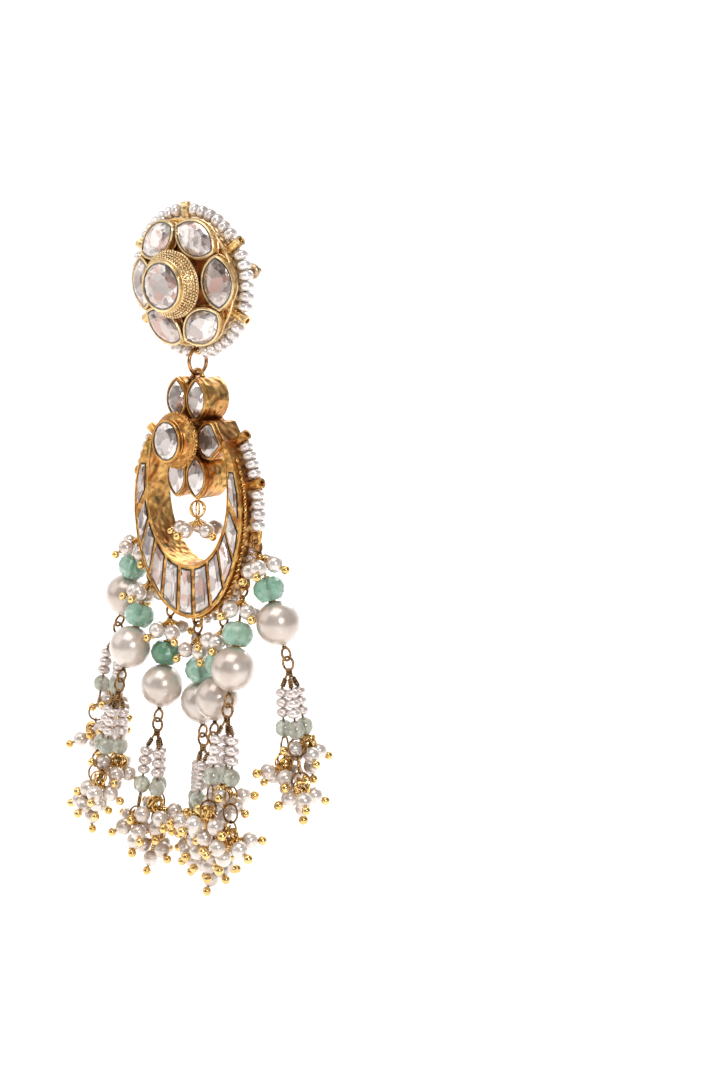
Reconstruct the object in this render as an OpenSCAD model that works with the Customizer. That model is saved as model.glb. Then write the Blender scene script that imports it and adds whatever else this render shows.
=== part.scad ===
// Chandbali earring, in millimetres: a leaning flower stud, a jump ring, and a crescent pendant
// with seven beaded drops. The front faces -Y, and the origin is the middle of the stud's back.

/* [Rosette] */
// Lean of the rosette's top towards the front, in degrees
rosette_lean = 7; // [0:1:10]
// Radius of the rosette's round base
base_r = 10.1; // [9.8:0.1:11]
// Depth of the base's side wall
base_h = 3; // [2.8:0.1:3.6]
// Diameter of the pearls round the edges
edge_pearl_d = 2.3; // [2:0.1:2.5]
// Width kept between the groups of edge pearls
edge_lug_space = 2.2; // [2.2:0.1:2.6]
// Half length of a petal stone, along the ring
petal_half_len = 3.95; // [3.6:0.05:4.1]
// Half width of a petal stone, across the ring
petal_half_w = 2.6; // [2.4:0.05:2.65]
// How far a petal stone stands out past the base
petal_overhang = 0.5; // [0.3:0.05:0.6]
// Outward tilt of a petal, in degrees
petal_tilt = 12; // [8:1:14]
// Radius of the centre stone
centre_r = 3.7; // [3.4:0.05:3.9]
// Width of the sloping collar round the centre stone
collar_w = 1.05; // [0.9:0.05:1.1]

/* [Post] */
// Radius of the post
post_r = 0.45; // [0.4:0.05:0.5]
// Length of the post behind the base
post_len = 13; // [11:0.5:15]
// Distance of the post to the side of the middle
post_x = 2; // [0:0.1:3]
// Radius of the push-on nut
nut_r = 1.8; // [1.4:0.1:2.6]
// Length of the push-on nut
nut_len = 3; // [2:0.5:4]

/* [Jump ring] */
// Radius of the jump ring, to the middle of its wire
ring_r = 2.05; // [1.9:0.05:2.2]
// Radius of the jump ring's wire
ring_wire = 0.3; // [0.25:0.01:0.32]
// Radius of the eye's and the bail's wire
eye_wire = 0.32; // [0.28:0.01:0.34]

/* [Pendant] */
// Depth of the pendant's walls
chand_depth = 5.5; // [5:0.1:6]
// Thickness of the collets' walls
wall = 0.4; // [0.35:0.05:0.5]
// Half length of a marquise stone
marquise_half_len = 3.05; // [2.8:0.05:3.2]
// Half width of a marquise stone
marquise_half_w = 1.75; // [1.6:0.05:1.8]
// Half height of the centre stone of the pendant
chand_stone_half_h = 3; // [2.8:0.05:3.1]
// Half width of the centre stone of the pendant
chand_stone_half_w = 2.6; // [2.4:0.05:2.7]
// Radius of the stem that carries the centre stone
stem_r = 2.1; // [1.9:0.05:2.2]
// Height of the stem in front of the pendant's face
stem_h = 2.1; // [1.9:0.1:2.6]
// Half width of the crescent
crescent_a = 11.3; // [11:0.1:11.8]
// Height of the crescent below its widest line
crescent_b = 17.4; // [17:0.1:18]
// Height that the crescent would have above its widest line
crescent_top_b = 15.6; // [15.2:0.1:16]
// Half width of the crescent's opening
opening_a = 8.56; // [8.4:0.02:8.7]
// Height of the opening below its widest line
opening_b = 11.7; // [11.3:0.1:12]
// Thickness of the crescent's rims
rim = 0.45; // [0.35:0.05:0.5]
// Width of the bars between the crescent's stones
bar = 0.6; // [0.5:0.05:0.7]

/* [Drops] */
// Diameter of the seven large pearls
large_pearl_d = 6.8; // [6.4:0.1:7]
// Diameter of the green rondelles
green_d = 5; // [4.6:0.1:5.2]
// Height of the green rondelles
green_h = 3.5; // [3.2:0.1:3.8]
// Diameter of the small round pearls
small_pearl_d = 2.6; // [2.4:0.05:2.7]
// Diameter of the pale green beads
pale_d = 2.7; // [2.4:0.05:2.8]
// Radius of the stacks of seed pearls
seed_r = 1.05; // [0.9:0.05:1.1]
// Length of a stack of seed pearls
seed_len = 4.4; // [4:0.1:5]
// Radius of the drops' wire
wire = 0.22; // [0.2:0.01:0.25]
// Radius of the gold ball at the end of a pin
tip_r = 0.7; // [0.6:0.05:0.85]

/* [Hidden] */

// Clearances
gap = 0.1;
stone_gap = 0.08;
bead_gap = 0.12;
cell_gap = 0.15;
hang_gap = 0.2;
nut_gap = 0.05;
bore_gap = 0.08;
solder = 0.3;

// Radius of the ball at a bend of a wire, in radii of the wire
joint = 1.2;

// Stones: depth in the seat, height of the crown, shares of the table and the base, height of the rim
seat_depth = 0.9;
crown_h = 0.6;
table_share = 0.62;
base_share = 0.9;
stone_rim = 0.05;

// Rosette
petals = 6;
pearls_in_group = 6;
eye_side = 4;
thread_r = 0.15;
edge_bore_r = thread_r + bore_gap;
edge_r = edge_pearl_d / 2;
edge_seat = 0.15;
pearl_ring_r = base_r + edge_seat + edge_r;
pearl_back = 0.25;
pearl_plane = edge_r + pearl_back;
petal_wall = 0.35;
petal_ring_r = base_r + petal_overhang - petal_half_w;
petal_lift = 1.4;
petal_plane = base_h + petal_lift;
petal_collet_h = 1.3;
drum_r = centre_r + petal_wall + stone_gap;
collar_r = drum_r + collar_w;
collar_lift = 1.4;
collar_z = petal_plane + collar_lift;
collar_h = 0.7;
slope_h = 1.4;
bezel_h = 0.7;
centre_top = collar_z + collar_h + slope_h + bezel_h;
plate_h = 0.2;
plate_inset = 1;
plate_z = base_h + plate_h;
lug_r = 0.8;
lug_len = 2.5;
lug_hole_r = 0.45;
lug_hole_depth = 0.6;

// Eye, jump ring and bail
eye_r = 0.72;
ring_reach = ring_r - ring_wire - eye_wire - gap;
eye_below = 0.2;
eye_y = -(pearl_ring_r + eye_below);
eye_place = [
    0,
    -pearl_plane * cos(rosette_lean) - eye_y * sin(rosette_lean),
    -pearl_plane * sin(rosette_lean) + eye_y * cos(rosette_lean),
];
ring_centre = eye_place - [0, 0, ring_reach];
bail_place = ring_centre - [0, 0, ring_reach];
bail_r = 0.95;
bail_leg = 2.2;

// Post and nut
foot_r = 1.6;
foot_h = 0.6;
nut_end = post_len - 1;
nut_front_share = 0.55;

// Pendant, measured up from the bail's wire and forward from the pendant's back
collet_lap = 0.05;
marquise_x = marquise_half_w + wall - collet_lap;
bail_above = 0.2;
top_y = -bail_r - bail_above - marquise_half_len - wall;
centre_below = 0.25;
centre_y = top_y - marquise_half_len - chand_stone_half_h - centre_below;
low_lap = 0.15;
low_y = centre_y - marquise_half_len - chand_stone_half_h + low_lap;
stem_z = chand_depth + stem_h;
chand_collar_r = 4.2;
chand_collar_h = 0.6;
chand_slope_h = 1.4;
chand_bezel_h = 0.6;
chand_top = stem_z + chand_collar_h + chand_slope_h + chand_bezel_h;
flare_h = 1.2;
flare_inset = 0.4;
backing_r = 4.4;
backing_h = 1;
pear_a = 2.05;
pear_b = 2.6;
pear_out = 0.1;
pear_x = stem_r + wall + stone_gap + pear_a + pear_out;
pear_tip = [2.35, -0.6];
crescent_below = 10.8;
crescent_y = centre_y - crescent_below;
opening_above = 2.4;
opening_y = crescent_y + opening_above;
opening_top_b = 17;
horn_above = 0.1;
horn_y = centre_y + horn_above;
horn_stone_below = 4.2;
horn_stone_y = centre_y - horn_stone_below;
outline_steps = 40;
bar_angles = [-82, -65, -47, -29, -9, 9, 29, 47, 65, 82];
horn_stone_angle = 86;
brace_w = 1.6;
brace_h = 1.5;
brace_below = 1.1;
brace_lap = 0.3;
brace_back = 0.2;
mid_z = chand_depth / 2;
crossbar_below = 2.3;
crossbar_y = low_y - crossbar_below;
crossbar_half = 1.5;

// Edge strings of the pendant: angles of the end, middle and top lugs from the crescent's foot, and
// the way from the end lug to the first pearl
horn_lug_back = 1.3;
string_angles = [77, 105.5, crescent_end(horn_y, 0) - horn_lug_back];
string_start = 1.35;
pearls_in_string = 4;

// Drops: angle of the lug from the crescent's foot, lean to the side and to the front of the drop,
// lean to the side and to the front of its tassel, turn of its head pearls and of its strands
LUG = 0;
SIDE = 1;
FRONT = 2;
TASSEL_SIDE = 3;
TASSEL_FRONT = 4;
HEAD_TURN = 5;
STRAND_TURN = 6;
drops = [
    [-77, -19, -1, 11, 2, -20, 15],
    [-52, -5.5, 18.5, 1.5, -8, -70, -30],
    [-26.5, -1, 9, 0, -3, -20, -115],
    [0, 0, -4, -1, 5, 45, 72],
    [26.5, 1, 9, 0, -3, 20, 115],
    [52, 5.5, 18.5, -1.5, -8, 70, 30],
    [77, 19, -1, -11, 2, 20, -15],
];
lug_reach = 1;
lug_eye_r = 0.85;
lug_eye_wire = 0.28;
loop_r = 0.95;
loop_z = -(lug_eye_r - lug_eye_wire - wire - hang_gap) - loop_r;
coil_r = 0.52;
coil_h = 1.1;
pin_start = 0.4;
pin_reach = small_pearl_d / 2 + tip_r + 0.05;
coil_z = loop_z - loop_r - coil_h - gap;
pin_angle = 39;
head_pins = 3;
head_pin_above = 0.5;
head_pin_z = coil_z + head_pin_above;
head_out = 2.75;
head_pin_turn = 80;
green_below = 2.9;
green_z = coil_z - green_h / 2 - green_below;
large_z = green_z - green_h / 2 - large_pearl_d / 2 - bead_gap;
foot_wire = 0.4;
foot_loop_z = large_z - large_pearl_d / 2 - foot_wire - loop_r;
pivot_z = foot_loop_z - loop_r;
bead_bore_r = wire + bore_gap;

// Tassel, measured down from the foot loop's wire
strands = 3;
tassel_ring_r = 1;
tassel_ring_z = 2 * wire + gap - tassel_ring_r;
knot_r = 0.6;
knot_out = 0.3;
knot_below = 0.2;
knot_z = tassel_ring_z - tassel_ring_r - knot_below;
knot_reach = 2.4;
seed_top_z = knot_z - knot_reach;
pale_below = 0.3;
pale_down = seed_len + pale_below + pale_d / 2;
head_reach = 1.6;
head_z = seed_top_z - pale_down - pale_d / 2 - head_reach;
level_gap = 0.3;
level_step = small_pearl_d + level_gap;
seed_top_out = 1.4;
head_out_foot = 2.1;
tassel_pins = 3;
tassel_pin_turn = 110;
tassel_pin_angle = 30;
tassel_pin_len = 2.35;

// Inner drop
inner_loop_r = 0.95;
inner_ring_r = 1.3;
inner_pins = 5;
inner_hub_r = 0.6;
inner_pin_len = 3;
inner_pin_angle = 20;
inner_ring_below = 0.6;
inner_head_below = 0.8;
inner_wire_lap = 0.1;

// Places

// The face frame has X to the side, Y up and Z forward
module face() rotate([90, 0, 0]) children();

module rosette_place() rotate([rosette_lean, 0, 0]) face() children();

module pendant_place()
    translate([0, bail_place[1] + chand_depth / 2, bail_place[2]]) face() children();

module drop_place(drop) {
    at = lug_eye(drop[LUG]);
    translate([at[0], bail_place[1], bail_place[2] + at[1]])
        rotate([-drop[FRONT], -drop[SIDE], 0]) children();
}

module tassel_place(drop)
    drop_place(drop) translate([0, 0, pivot_z])
        rotate([-drop[TASSEL_FRONT], -drop[TASSEL_SIDE], 0]) children();

// Curves

// Angles run from the foot of the crescent, positive to the right
function height_of(t, low_b, top_b) = (abs(t) < 90 ? low_b : top_b) * -cos(t);

function crescent_at(t, grow) = [
    (crescent_a + grow) * sin(t),
    crescent_y + height_of(t, crescent_b + grow, crescent_top_b + grow),
];

function opening_at(t, grow) = [
    (opening_a + grow) * sin(t),
    opening_y + height_of(t, opening_b + grow, opening_top_b + grow),
];

function crescent_end(y, grow) = 90 + asin((y - crescent_y) / (crescent_top_b + grow));

function opening_end(y, grow) = 90 + asin((y - opening_y) / (opening_top_b + grow));

function crescent_speed(t, grow) =
    let (b = abs(t) < 90 ? crescent_b : crescent_top_b)
    norm([(crescent_a + grow) * cos(t), (b + grow) * sin(t)]) * PI / 180;

function opening_speed(t, grow) =
    let (b = abs(t) < 90 ? opening_b : opening_top_b)
    norm([(opening_a + grow) * cos(t), (b + grow) * sin(t)]) * PI / 180;

function crescent_normal(t) =
    let (n = [sin(t) / crescent_a, -cos(t) / (abs(t) < 90 ? crescent_b : crescent_top_b)]) n / norm(n);

function lug_eye(t) = crescent_at(t, 0) + lug_reach * crescent_normal(t);

// The middle of one stone's cell in the crescent: two angles on each rim, kept half a bar apart
function cell_outline(out_1, out_2, in_1, in_2, inset, half) = let (
    o1 = out_1 + half / crescent_speed(out_1, -inset),
    o2 = out_2 - half / crescent_speed(out_2, -inset),
    i1 = in_1 + half / opening_speed(in_1, inset),
    i2 = in_2 - half / opening_speed(in_2, inset)
) [
    crescent_at(o1, -inset), crescent_at((o1 + o2) / 2, -inset), crescent_at(o2, -inset),
    opening_at(i2, inset), opening_at((i1 + i2) / 2, inset), opening_at(i1, inset),
];

function bar_cells(inset, half) = [
    for (i = [0 : len(bar_angles) - 2])
        cell_outline(bar_angles[i], bar_angles[i + 1], bar_angles[i], bar_angles[i + 1], inset, half),
];

function horn_cell(inset, half) = cell_outline(
    horn_stone_angle, crescent_end(horn_stone_y, -inset),
    horn_stone_angle, opening_end(horn_stone_y, inset), inset, half
);

function mirrored(points) = [for (i = [len(points) - 1 : -1 : 0]) [-points[i][0], points[i][1]]];

function crescent_cells(inset, half) =
    concat(bar_cells(inset, half), [horn_cell(inset, half), mirrored(horn_cell(inset, half))]);

function crescent_outline() = let (
    out_end = crescent_end(horn_y, 0),
    in_end = opening_end(horn_y, 0)
) concat(
    [for (i = [0 : outline_steps]) crescent_at(-out_end + 2 * out_end * i / outline_steps, 0)],
    [for (i = [0 : outline_steps]) opening_at(in_end - 2 * in_end * i / outline_steps, 0)]
);

function ellipse_outline(a, b, n) = [for (i = [0 : n - 1]) [a * cos(360 * i / n), b * sin(360 * i / n)]];

function pear_outline(grow) = concat(
    [for (t = [70 : 15 : 280]) [(pear_a + grow) * cos(t), (pear_b + grow) * sin(t)]],
    [pear_tip + [1.5 * grow, -0.1 * grow]]
);

// A pointed oval with its points along Y, made of two arcs
function marquise_outline(half_len, half_w, n) = let (
    r = (half_len * half_len + half_w * half_w) / (2 * half_w),
    off = r - half_w,
    end = asin(half_len / r)
) concat(
    [for (i = [0 : n - 1]) let (t = -end + 2 * end * i / n) [r * cos(t) - off, r * sin(t)]],
    [for (i = [0 : n - 1]) let (t = -end + 2 * end * i / n) [off - r * cos(t), -r * sin(t)]]
);

// Shapes that repeat

module rod(from, to, r) {
    way = to - from;
    translate(from) rotate([0, acos(way[2] / norm(way)), atan2(way[1], way[0])])
        cylinder(h = norm(way), r = r, $fn = 24);
}

module ball(at, r) translate(at) sphere(r = r, $fn = 24);

module torus(r, wire_r) rotate_extrude($fn = 48) translate([r, 0]) circle(r = wire_r, $fn = 24);

// A loop in the plane of Y and Z
module loop(r, wire_r) rotate([0, 90, 0]) torus(r, wire_r);

module cut_stone(outline, depth, crown) {
    n = len(outline);
    middle = [for (k = [0, 1]) [for (p = outline) p[k]] * [for (p = outline) 1] / n];
    base = [for (p = outline) let (q = middle + base_share * (p - middle)) [q[0], q[1], 0]];
    girdle = [for (p = outline) [p[0], p[1], depth]];
    table = [for (p = outline) let (q = middle + table_share * (p - middle)) [q[0], q[1], depth + crown]];
    polyhedron(
        points = concat(base, girdle, table),
        faces = concat(
            [[for (i = [0 : n - 1]) i]],
            [for (i = [0 : n - 1]) [i, i + n, (i + 1) % n + n, (i + 1) % n]],
            [for (i = [0 : n - 1]) [i + n, i + 2 * n, (i + 1) % n + 2 * n, (i + 1) % n + n]],
            [[for (i = [n - 1 : -1 : 0]) i + 2 * n]]
        )
    );
}

// A squashed round bead on the Z axis
module rondel(r, h, bore_r) rotate_extrude($fn = 36) difference() {
    union() {
        translate([r - h / 2, 0]) circle(r = h / 2, $fn = 24);
        translate([bore_r, -h / 2]) square([r - h / 2 - bore_r, h]);
    }
    translate([-r, -r]) square([r + bore_r, 2 * r]);
}

module round_bead(r, bore_r) difference() {
    sphere(r = r, $fn = 32);
    cylinder(h = 3 * r, r = bore_r, center = true, $fn = 24);
}

// A radial tube with a dark open end and a cross hole for the thread, along X from the wall
module side_lug() difference() {
    translate([-solder, 0, 0]) rotate([0, 90, 0]) cylinder(h = lug_len + solder, r = lug_r, $fn = 24);
    translate([lug_len - lug_hole_depth, 0, 0]) rotate([0, 90, 0])
        cylinder(h = 2 * lug_hole_depth, r = lug_hole_r, $fn = 24);
    translate([edge_seat + edge_r, 0, 0]) rotate([90, 0, 0])
        cylinder(h = 4 * lug_r, r = edge_bore_r, center = true, $fn = 24);
}

// Rosette

module petal_turn(i) rotate([0, 0, 360 / petals * i]) children();

module petal_place(i)
    petal_turn(i) translate([petal_ring_r, 0, petal_plane]) rotate([0, petal_tilt, 0]) children();

module pointed_oval(half_len, half_w) {
    r = (half_len * half_len + half_w * half_w) / (2 * half_w);
    intersection() {
        translate([r - half_w, 0]) circle(r = r, $fn = 96);
        translate([half_w - r, 0]) circle(r = r, $fn = 96);
    }
}

module petal_collet() translate([0, 0, -petal_collet_h])
    linear_extrude(height = petal_collet_h)
        pointed_oval(petal_half_len + 1.4 * petal_wall, petal_half_w + petal_wall);

module petal_seat() translate([0, 0, -seat_depth])
    linear_extrude(height = 2 * seat_depth)
        pointed_oval(petal_half_len + stone_gap, petal_half_w + stone_gap);

module rosette_eye() translate([0, eye_y + eye_r, pearl_plane]) {
    rotate([0, 0, 180]) rotate_extrude(angle = 180, $fn = 48)
        translate([eye_r, 0]) circle(r = eye_wire, $fn = 24);
    for (side = [-1, 1])
        translate([side * eye_r, 0, 0]) rotate([-90, 0, 0])
            cylinder(h = -eye_y - eye_r - base_r + 2 * solder + gap, r = eye_wire, $fn = 24);
}

module centre_drum() {
    cylinder(h = centre_top, r = drum_r, $fn = 48);
    translate([0, 0, collar_z]) cylinder(h = collar_h, r = collar_r, $fn = 48);
    translate([0, 0, collar_z + collar_h]) cylinder(h = slope_h, r1 = collar_r, r2 = drum_r, $fn = 48);
}

module rosette_frame() color("#c9973f") rosette_place() difference() {
    union() {
        cylinder(h = base_h, r = base_r, $fn = 64);
        cylinder(h = plate_z, r = base_r - plate_inset, $fn = 64);
        for (i = [0 : petals - 1]) petal_place(i) petal_collet();
        centre_drum();
        for (i = [0 : petals - 1]) if (i != eye_side)
            rotate([0, 0, 360 / petals * i + 30]) translate([base_r, 0, pearl_plane]) side_lug();
        rosette_eye();
    }
    for (i = [0 : petals - 1]) petal_place(i) petal_seat();
    translate([0, 0, centre_top - seat_depth])
        cylinder(h = 2 * seat_depth, r = centre_r + stone_gap, $fn = 48);
    translate([post_x, 0, -1]) cylinder(h = 1 + foot_h + gap, r = foot_r + stone_gap, $fn = 32);
}

module petal_stone(i) color("#d9d3cb") rosette_place() petal_place(i)
    translate([0, 0, stone_rim - seat_depth])
        cut_stone(marquise_outline(petal_half_len, petal_half_w, 8), seat_depth, crown_h);

module rosette_centre_stone() color("#d9d3cb") rosette_place()
    translate([0, 0, centre_top + stone_rim - seat_depth])
        cut_stone(ellipse_outline(centre_r, centre_r, 16), seat_depth, crown_h);

// Along the post from the rosette's back
module post_place() rotate([rosette_lean, 0, 0]) translate([post_x, 0, 0]) rotate([-90, 0, 0]) children();

module ear_post() color("#b98f45") post_place() {
    cylinder(h = post_len, r = post_r, $fn = 32);
    translate([0, 0, -foot_h]) cylinder(h = foot_h, r = foot_r, $fn = 32);
}

module ear_nut() color("#a9834a") post_place() translate([0, 0, nut_end - nut_len]) difference() {
    cylinder(h = nut_len, r1 = nut_r * nut_front_share, r2 = nut_r, $fn = 48);
    translate([0, 0, -1]) cylinder(h = nut_len + 2, r = post_r + nut_gap, $fn = 32);
}

module rosette_pearls() color("#e9e4e6") rosette_place() {
    lug_turn = edge_lug_space / pearl_ring_r * 180 / PI;
    step = (360 / petals - lug_turn) / pearls_in_group;
    for (i = [0 : petals - 1], k = [0 : pearls_in_group - 1])
        rotate([0, 0, 360 / petals * i - 30 + lug_turn / 2 + step * (k + 0.5)])
            translate([pearl_ring_r, 0, pearl_plane]) rotate([90, 0, 0])
                rondel(edge_r, pearl_ring_r * step * PI / 180 - bead_gap, edge_bore_r);
}

module rosette_thread() color("#cfc7b5") rosette_place() {
    open = (eye_r + eye_wire + gap) / pearl_ring_r * 180 / PI;
    translate([0, 0, pearl_plane]) rotate([0, 0, open - 90]) rotate_extrude(angle = 360 - 2 * open, $fn = 96)
        translate([pearl_ring_r, 0]) circle(r = thread_r, $fn = 16);
}

// Jump ring

module jump_ring() color("#b07b3f") translate(ring_centre) loop(ring_r, ring_wire);

// Pendant

module marquise_collet(x, y) translate([x, y, 0]) linear_extrude(height = chand_depth)
    pointed_oval(marquise_half_len + wall, marquise_half_w + wall);

module marquise_seat(x, y) translate([x, y, chand_depth - seat_depth])
    linear_extrude(height = 2 * seat_depth)
        pointed_oval(marquise_half_len + stone_gap, marquise_half_w + stone_gap);

module marquise_stone(x, y) color("#dcd8d2") pendant_place()
    translate([x, y, chand_depth + stone_rim - seat_depth])
        cut_stone(marquise_outline(marquise_half_len, marquise_half_w, 7), seat_depth, crown_h);

module pear_side(side) mirror([side > 0 ? 0 : 1, 0, 0]) translate([pear_x, centre_y, 0]) children();

module pear_stone(side) color("#b9ada5") pendant_place() pear_side(side)
    translate([0, 0, chand_depth + stone_rim - seat_depth])
        cut_stone(pear_outline(0), seat_depth, crown_h);

module chand_centre() translate([0, centre_y, 0]) {
    cylinder(h = stem_z, r = stem_r, $fn = 48);
    translate([0, 0, stem_z - flare_h])
        cylinder(h = flare_h, r1 = stem_r, r2 = chand_collar_r - flare_inset, $fn = 48);
    translate([0, 0, stem_z]) cylinder(h = chand_collar_h, r = chand_collar_r, $fn = 48);
    translate([0, 0, stem_z + chand_collar_h])
        cylinder(h = chand_slope_h, r1 = chand_collar_r, r2 = chand_stone_half_h + wall, $fn = 48);
    translate([0, 0, stem_z + chand_collar_h]) linear_extrude(height = chand_top - stem_z - chand_collar_h)
        polygon(ellipse_outline(chand_stone_half_w + wall, chand_stone_half_h + wall, 32));
}

module bail() translate([0, -bail_r, mid_z]) {
    rotate_extrude(angle = 180, $fn = 48) translate([bail_r, 0]) circle(r = eye_wire, $fn = 24);
    for (side = [-1, 1]) translate([side * bail_r, 0, 0]) rotate([90, 0, 0])
        cylinder(h = bail_leg, r = eye_wire, $fn = 24);
}

// A round eye on the crescent's wall for a drop to hang on
module drop_lug(t) {
    at = lug_eye(t);
    translate([at[0], at[1], mid_z]) torus(lug_eye_r, lug_eye_wire);
}

// A side lug's frame on the crescent's wall
module wall_place(t) {
    at = crescent_at(t, 0);
    n = crescent_normal(t);
    translate([at[0], at[1], mid_z]) rotate([0, 0, atan2(n[1], n[0])]) children();
}

module brace(side) mirror([side > 0 ? 0 : 1, 0, 0])
    translate([pear_x + pear_tip[0] - brace_lap, centre_y + pear_tip[1] - brace_below, 0])
        cube([brace_w, brace_h, chand_depth - brace_back]);

module chand_frame() color("#a56a2b") pendant_place() difference() {
    union() {
        linear_extrude(height = chand_depth) polygon(crescent_outline());
        for (side = [-1, 1]) {
            marquise_collet(side * marquise_x, top_y);
            marquise_collet(side * marquise_x, low_y);
            pear_side(side) linear_extrude(height = chand_depth) polygon(pear_outline(wall));
            brace(side);
            wall_place(side * string_angles[1]) side_lug();
            wall_place(side * string_angles[2]) side_lug();
        }
        translate([0, centre_y, 0]) cylinder(h = backing_h, r = backing_r, $fn = 48);
        chand_centre();
        bail();
        for (drop = drops) drop_lug(drop[LUG]);
        translate([-crossbar_half, crossbar_y, mid_z]) rotate([0, 90, 0])
            cylinder(h = 2 * crossbar_half, r = eye_wire, $fn = 24);
    }
    for (side = [-1, 1]) {
        marquise_seat(side * marquise_x, top_y);
        marquise_seat(side * marquise_x, low_y);
        pear_side(side) translate([0, 0, chand_depth - seat_depth]) linear_extrude(height = 2 * seat_depth)
            polygon(pear_outline(stone_gap));
    }
    translate([0, centre_y, chand_top - seat_depth]) linear_extrude(height = 2 * seat_depth)
        polygon(ellipse_outline(chand_stone_half_w + stone_gap, chand_stone_half_h + stone_gap, 32));
    for (cell = crescent_cells(rim, bar / 2)) translate([0, 0, chand_depth - seat_depth])
        linear_extrude(height = 2 * seat_depth) polygon(cell);
}

module chand_centre_stone() color("#e2dfda") pendant_place()
    translate([0, centre_y, chand_top + stone_rim - seat_depth])
        cut_stone(ellipse_outline(chand_stone_half_w, chand_stone_half_h, 16), seat_depth, crown_h);

module crescent_stones() color("#d6cdc8") pendant_place()
    translate([0, 0, chand_depth + stone_rim - seat_depth])
        for (cell = crescent_cells(rim + cell_gap, bar / 2 + cell_gap)) cut_stone(cell, seat_depth, crown_h);

// Edge strings

string_grow = edge_seat + edge_r;

// First and last angle of the group of pearls between two lugs
function group_ends(k) = [
    string_angles[k]
        + (k == 0 ? string_start : lug_r + bead_gap) / crescent_speed(string_angles[k], string_grow),
    string_angles[k + 1] - (lug_r + bead_gap) / crescent_speed(string_angles[k + 1], string_grow),
];

function string_angle(k, i) = let (ends = group_ends(k))
    ends[0] + (ends[1] - ends[0]) * (i + 0.5) / pearls_in_string;

function string_pitch(k, i) = let (ends = group_ends(k))
    (ends[1] - ends[0]) / pearls_in_string * crescent_speed(string_angle(k, i), string_grow);

function string_point(t) =
    let (at = crescent_at(t, 0) + string_grow * crescent_normal(t)) [at[0], at[1], mid_z];

module edge_pearls(side) color("#e9e4e6") pendant_place() mirror([side > 0 ? 0 : 1, 0, 0])
    for (k = [0, 1], i = [0 : pearls_in_string - 1]) {
        t = string_angle(k, i);
        n = crescent_normal(t);
        translate(string_point(t)) rotate([0, 0, atan2(n[1], n[0])]) rotate([90, 0, 0])
            rondel(edge_r, string_pitch(k, i) - bead_gap, edge_bore_r);
    }

module edge_thread(side) color("#cfc7b5") pendant_place() mirror([side > 0 ? 0 : 1, 0, 0]) {
    angles = concat(
        [group_ends(0)[0]],
        [for (i = [0 : pearls_in_string - 1]) string_angle(0, i)], [string_angles[1]],
        [for (i = [0 : pearls_in_string - 1]) string_angle(1, i)], [string_angles[2]]
    );
    for (i = [0 : len(angles) - 2]) {
        rod(string_point(angles[i]), string_point(angles[i + 1]), thread_r);
        ball(string_point(angles[i + 1]), joint * thread_r);
    }
}

// Drops

// Way of a pin that leans down from level, and turns round the drop
function pin_way(turn, down) = [cos(turn) * cos(down), sin(turn) * cos(down), -sin(down)];

function head_turn(drop, k) = drop[HEAD_TURN] - 90 + head_pin_turn * (k - 1);

function head_pearl(drop, k) = [0, 0, head_pin_z] + head_out * pin_way(head_turn(drop, k), pin_angle);

// A pin through a bead at out, with a gold ball past the bead
module pin(from, way, out) on_pin(from, way) {
    translate([0, 0, pin_start]) cylinder(h = out + pin_reach - pin_start, r = wire, $fn = 24);
    translate([0, 0, out + pin_reach]) sphere(r = tip_r, $fn = 24);
}

// A bead set on a pin, with its hole along the pin
module on_pin(at, way) translate(at) rotate([0, acos(way[2]), atan2(way[1], way[0])]) children();

module drop_pin(drop) color("#8f5f34") drop_place(drop) {
    translate([0, 0, loop_z]) loop(loop_r, wire);
    translate([0, 0, foot_loop_z + loop_r])
        cylinder(h = loop_z - foot_loop_z - 2 * loop_r, r = wire, $fn = 24);
    translate([0, 0, coil_z]) cylinder(h = coil_h, r = coil_r, $fn = 24);
    translate([0, 0, foot_loop_z]) loop(loop_r, wire);
    for (k = [0 : head_pins - 1])
        pin([0, 0, head_pin_z], pin_way(head_turn(drop, k), pin_angle), head_out);
}

module head_pearls() color("#e6ddd6") for (drop = drops) drop_place(drop)
    for (k = [0 : head_pins - 1])
        on_pin(head_pearl(drop, k), pin_way(head_turn(drop, k), pin_angle))
            round_bead(small_pearl_d / 2, bead_bore_r);

module green_bead(drop) color("#6fb79b") drop_place(drop) translate([0, 0, green_z]) difference() {
    rotate_extrude($fn = 12) polygon([
        [0, -green_h / 2], [green_d * 0.3, -green_h / 2], [green_d * 0.44, -green_h * 0.3],
        [green_d / 2, -green_h * 0.1], [green_d / 2, green_h * 0.1], [green_d * 0.44, green_h * 0.3],
        [green_d * 0.3, green_h / 2], [0, green_h / 2],
    ]);
    cylinder(h = 2 * green_h, r = bead_bore_r, center = true, $fn = 24);
}

module large_pearl(drop) color("#e8dccb") drop_place(drop) translate([0, 0, large_z])
    round_bead(large_pearl_d / 2, bead_bore_r);

// Tassels

// The drops on the left are turned the other way, as in a mirror
function turn_way(drop) = drop[LUG] < 0 ? -1 : 1;

function strand_turn(drop, j) = 90 + drop[STRAND_TURN] + turn_way(drop) * 360 / strands * j;

function strand_at(drop, j, out, z) = [out * cos(strand_turn(drop, j)), out * sin(strand_turn(drop, j)), z];

function strand_head(drop, j) = strand_at(drop, j, head_out_foot, head_z - level_step * j);

function strand_len(drop, j) = norm(strand_head(drop, j) - strand_at(drop, j, seed_top_out, seed_top_z));

function strand_way(drop, j) =
    (strand_head(drop, j) - strand_at(drop, j, seed_top_out, seed_top_z)) / strand_len(drop, j);

function strand_point(drop, j, down) =
    strand_at(drop, j, seed_top_out, seed_top_z) + down * strand_way(drop, j);

function tassel_pin_way(drop, j, k) =
    pin_way(strand_turn(drop, j) + tassel_pin_turn * (k - 1), tassel_pin_angle);

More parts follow.
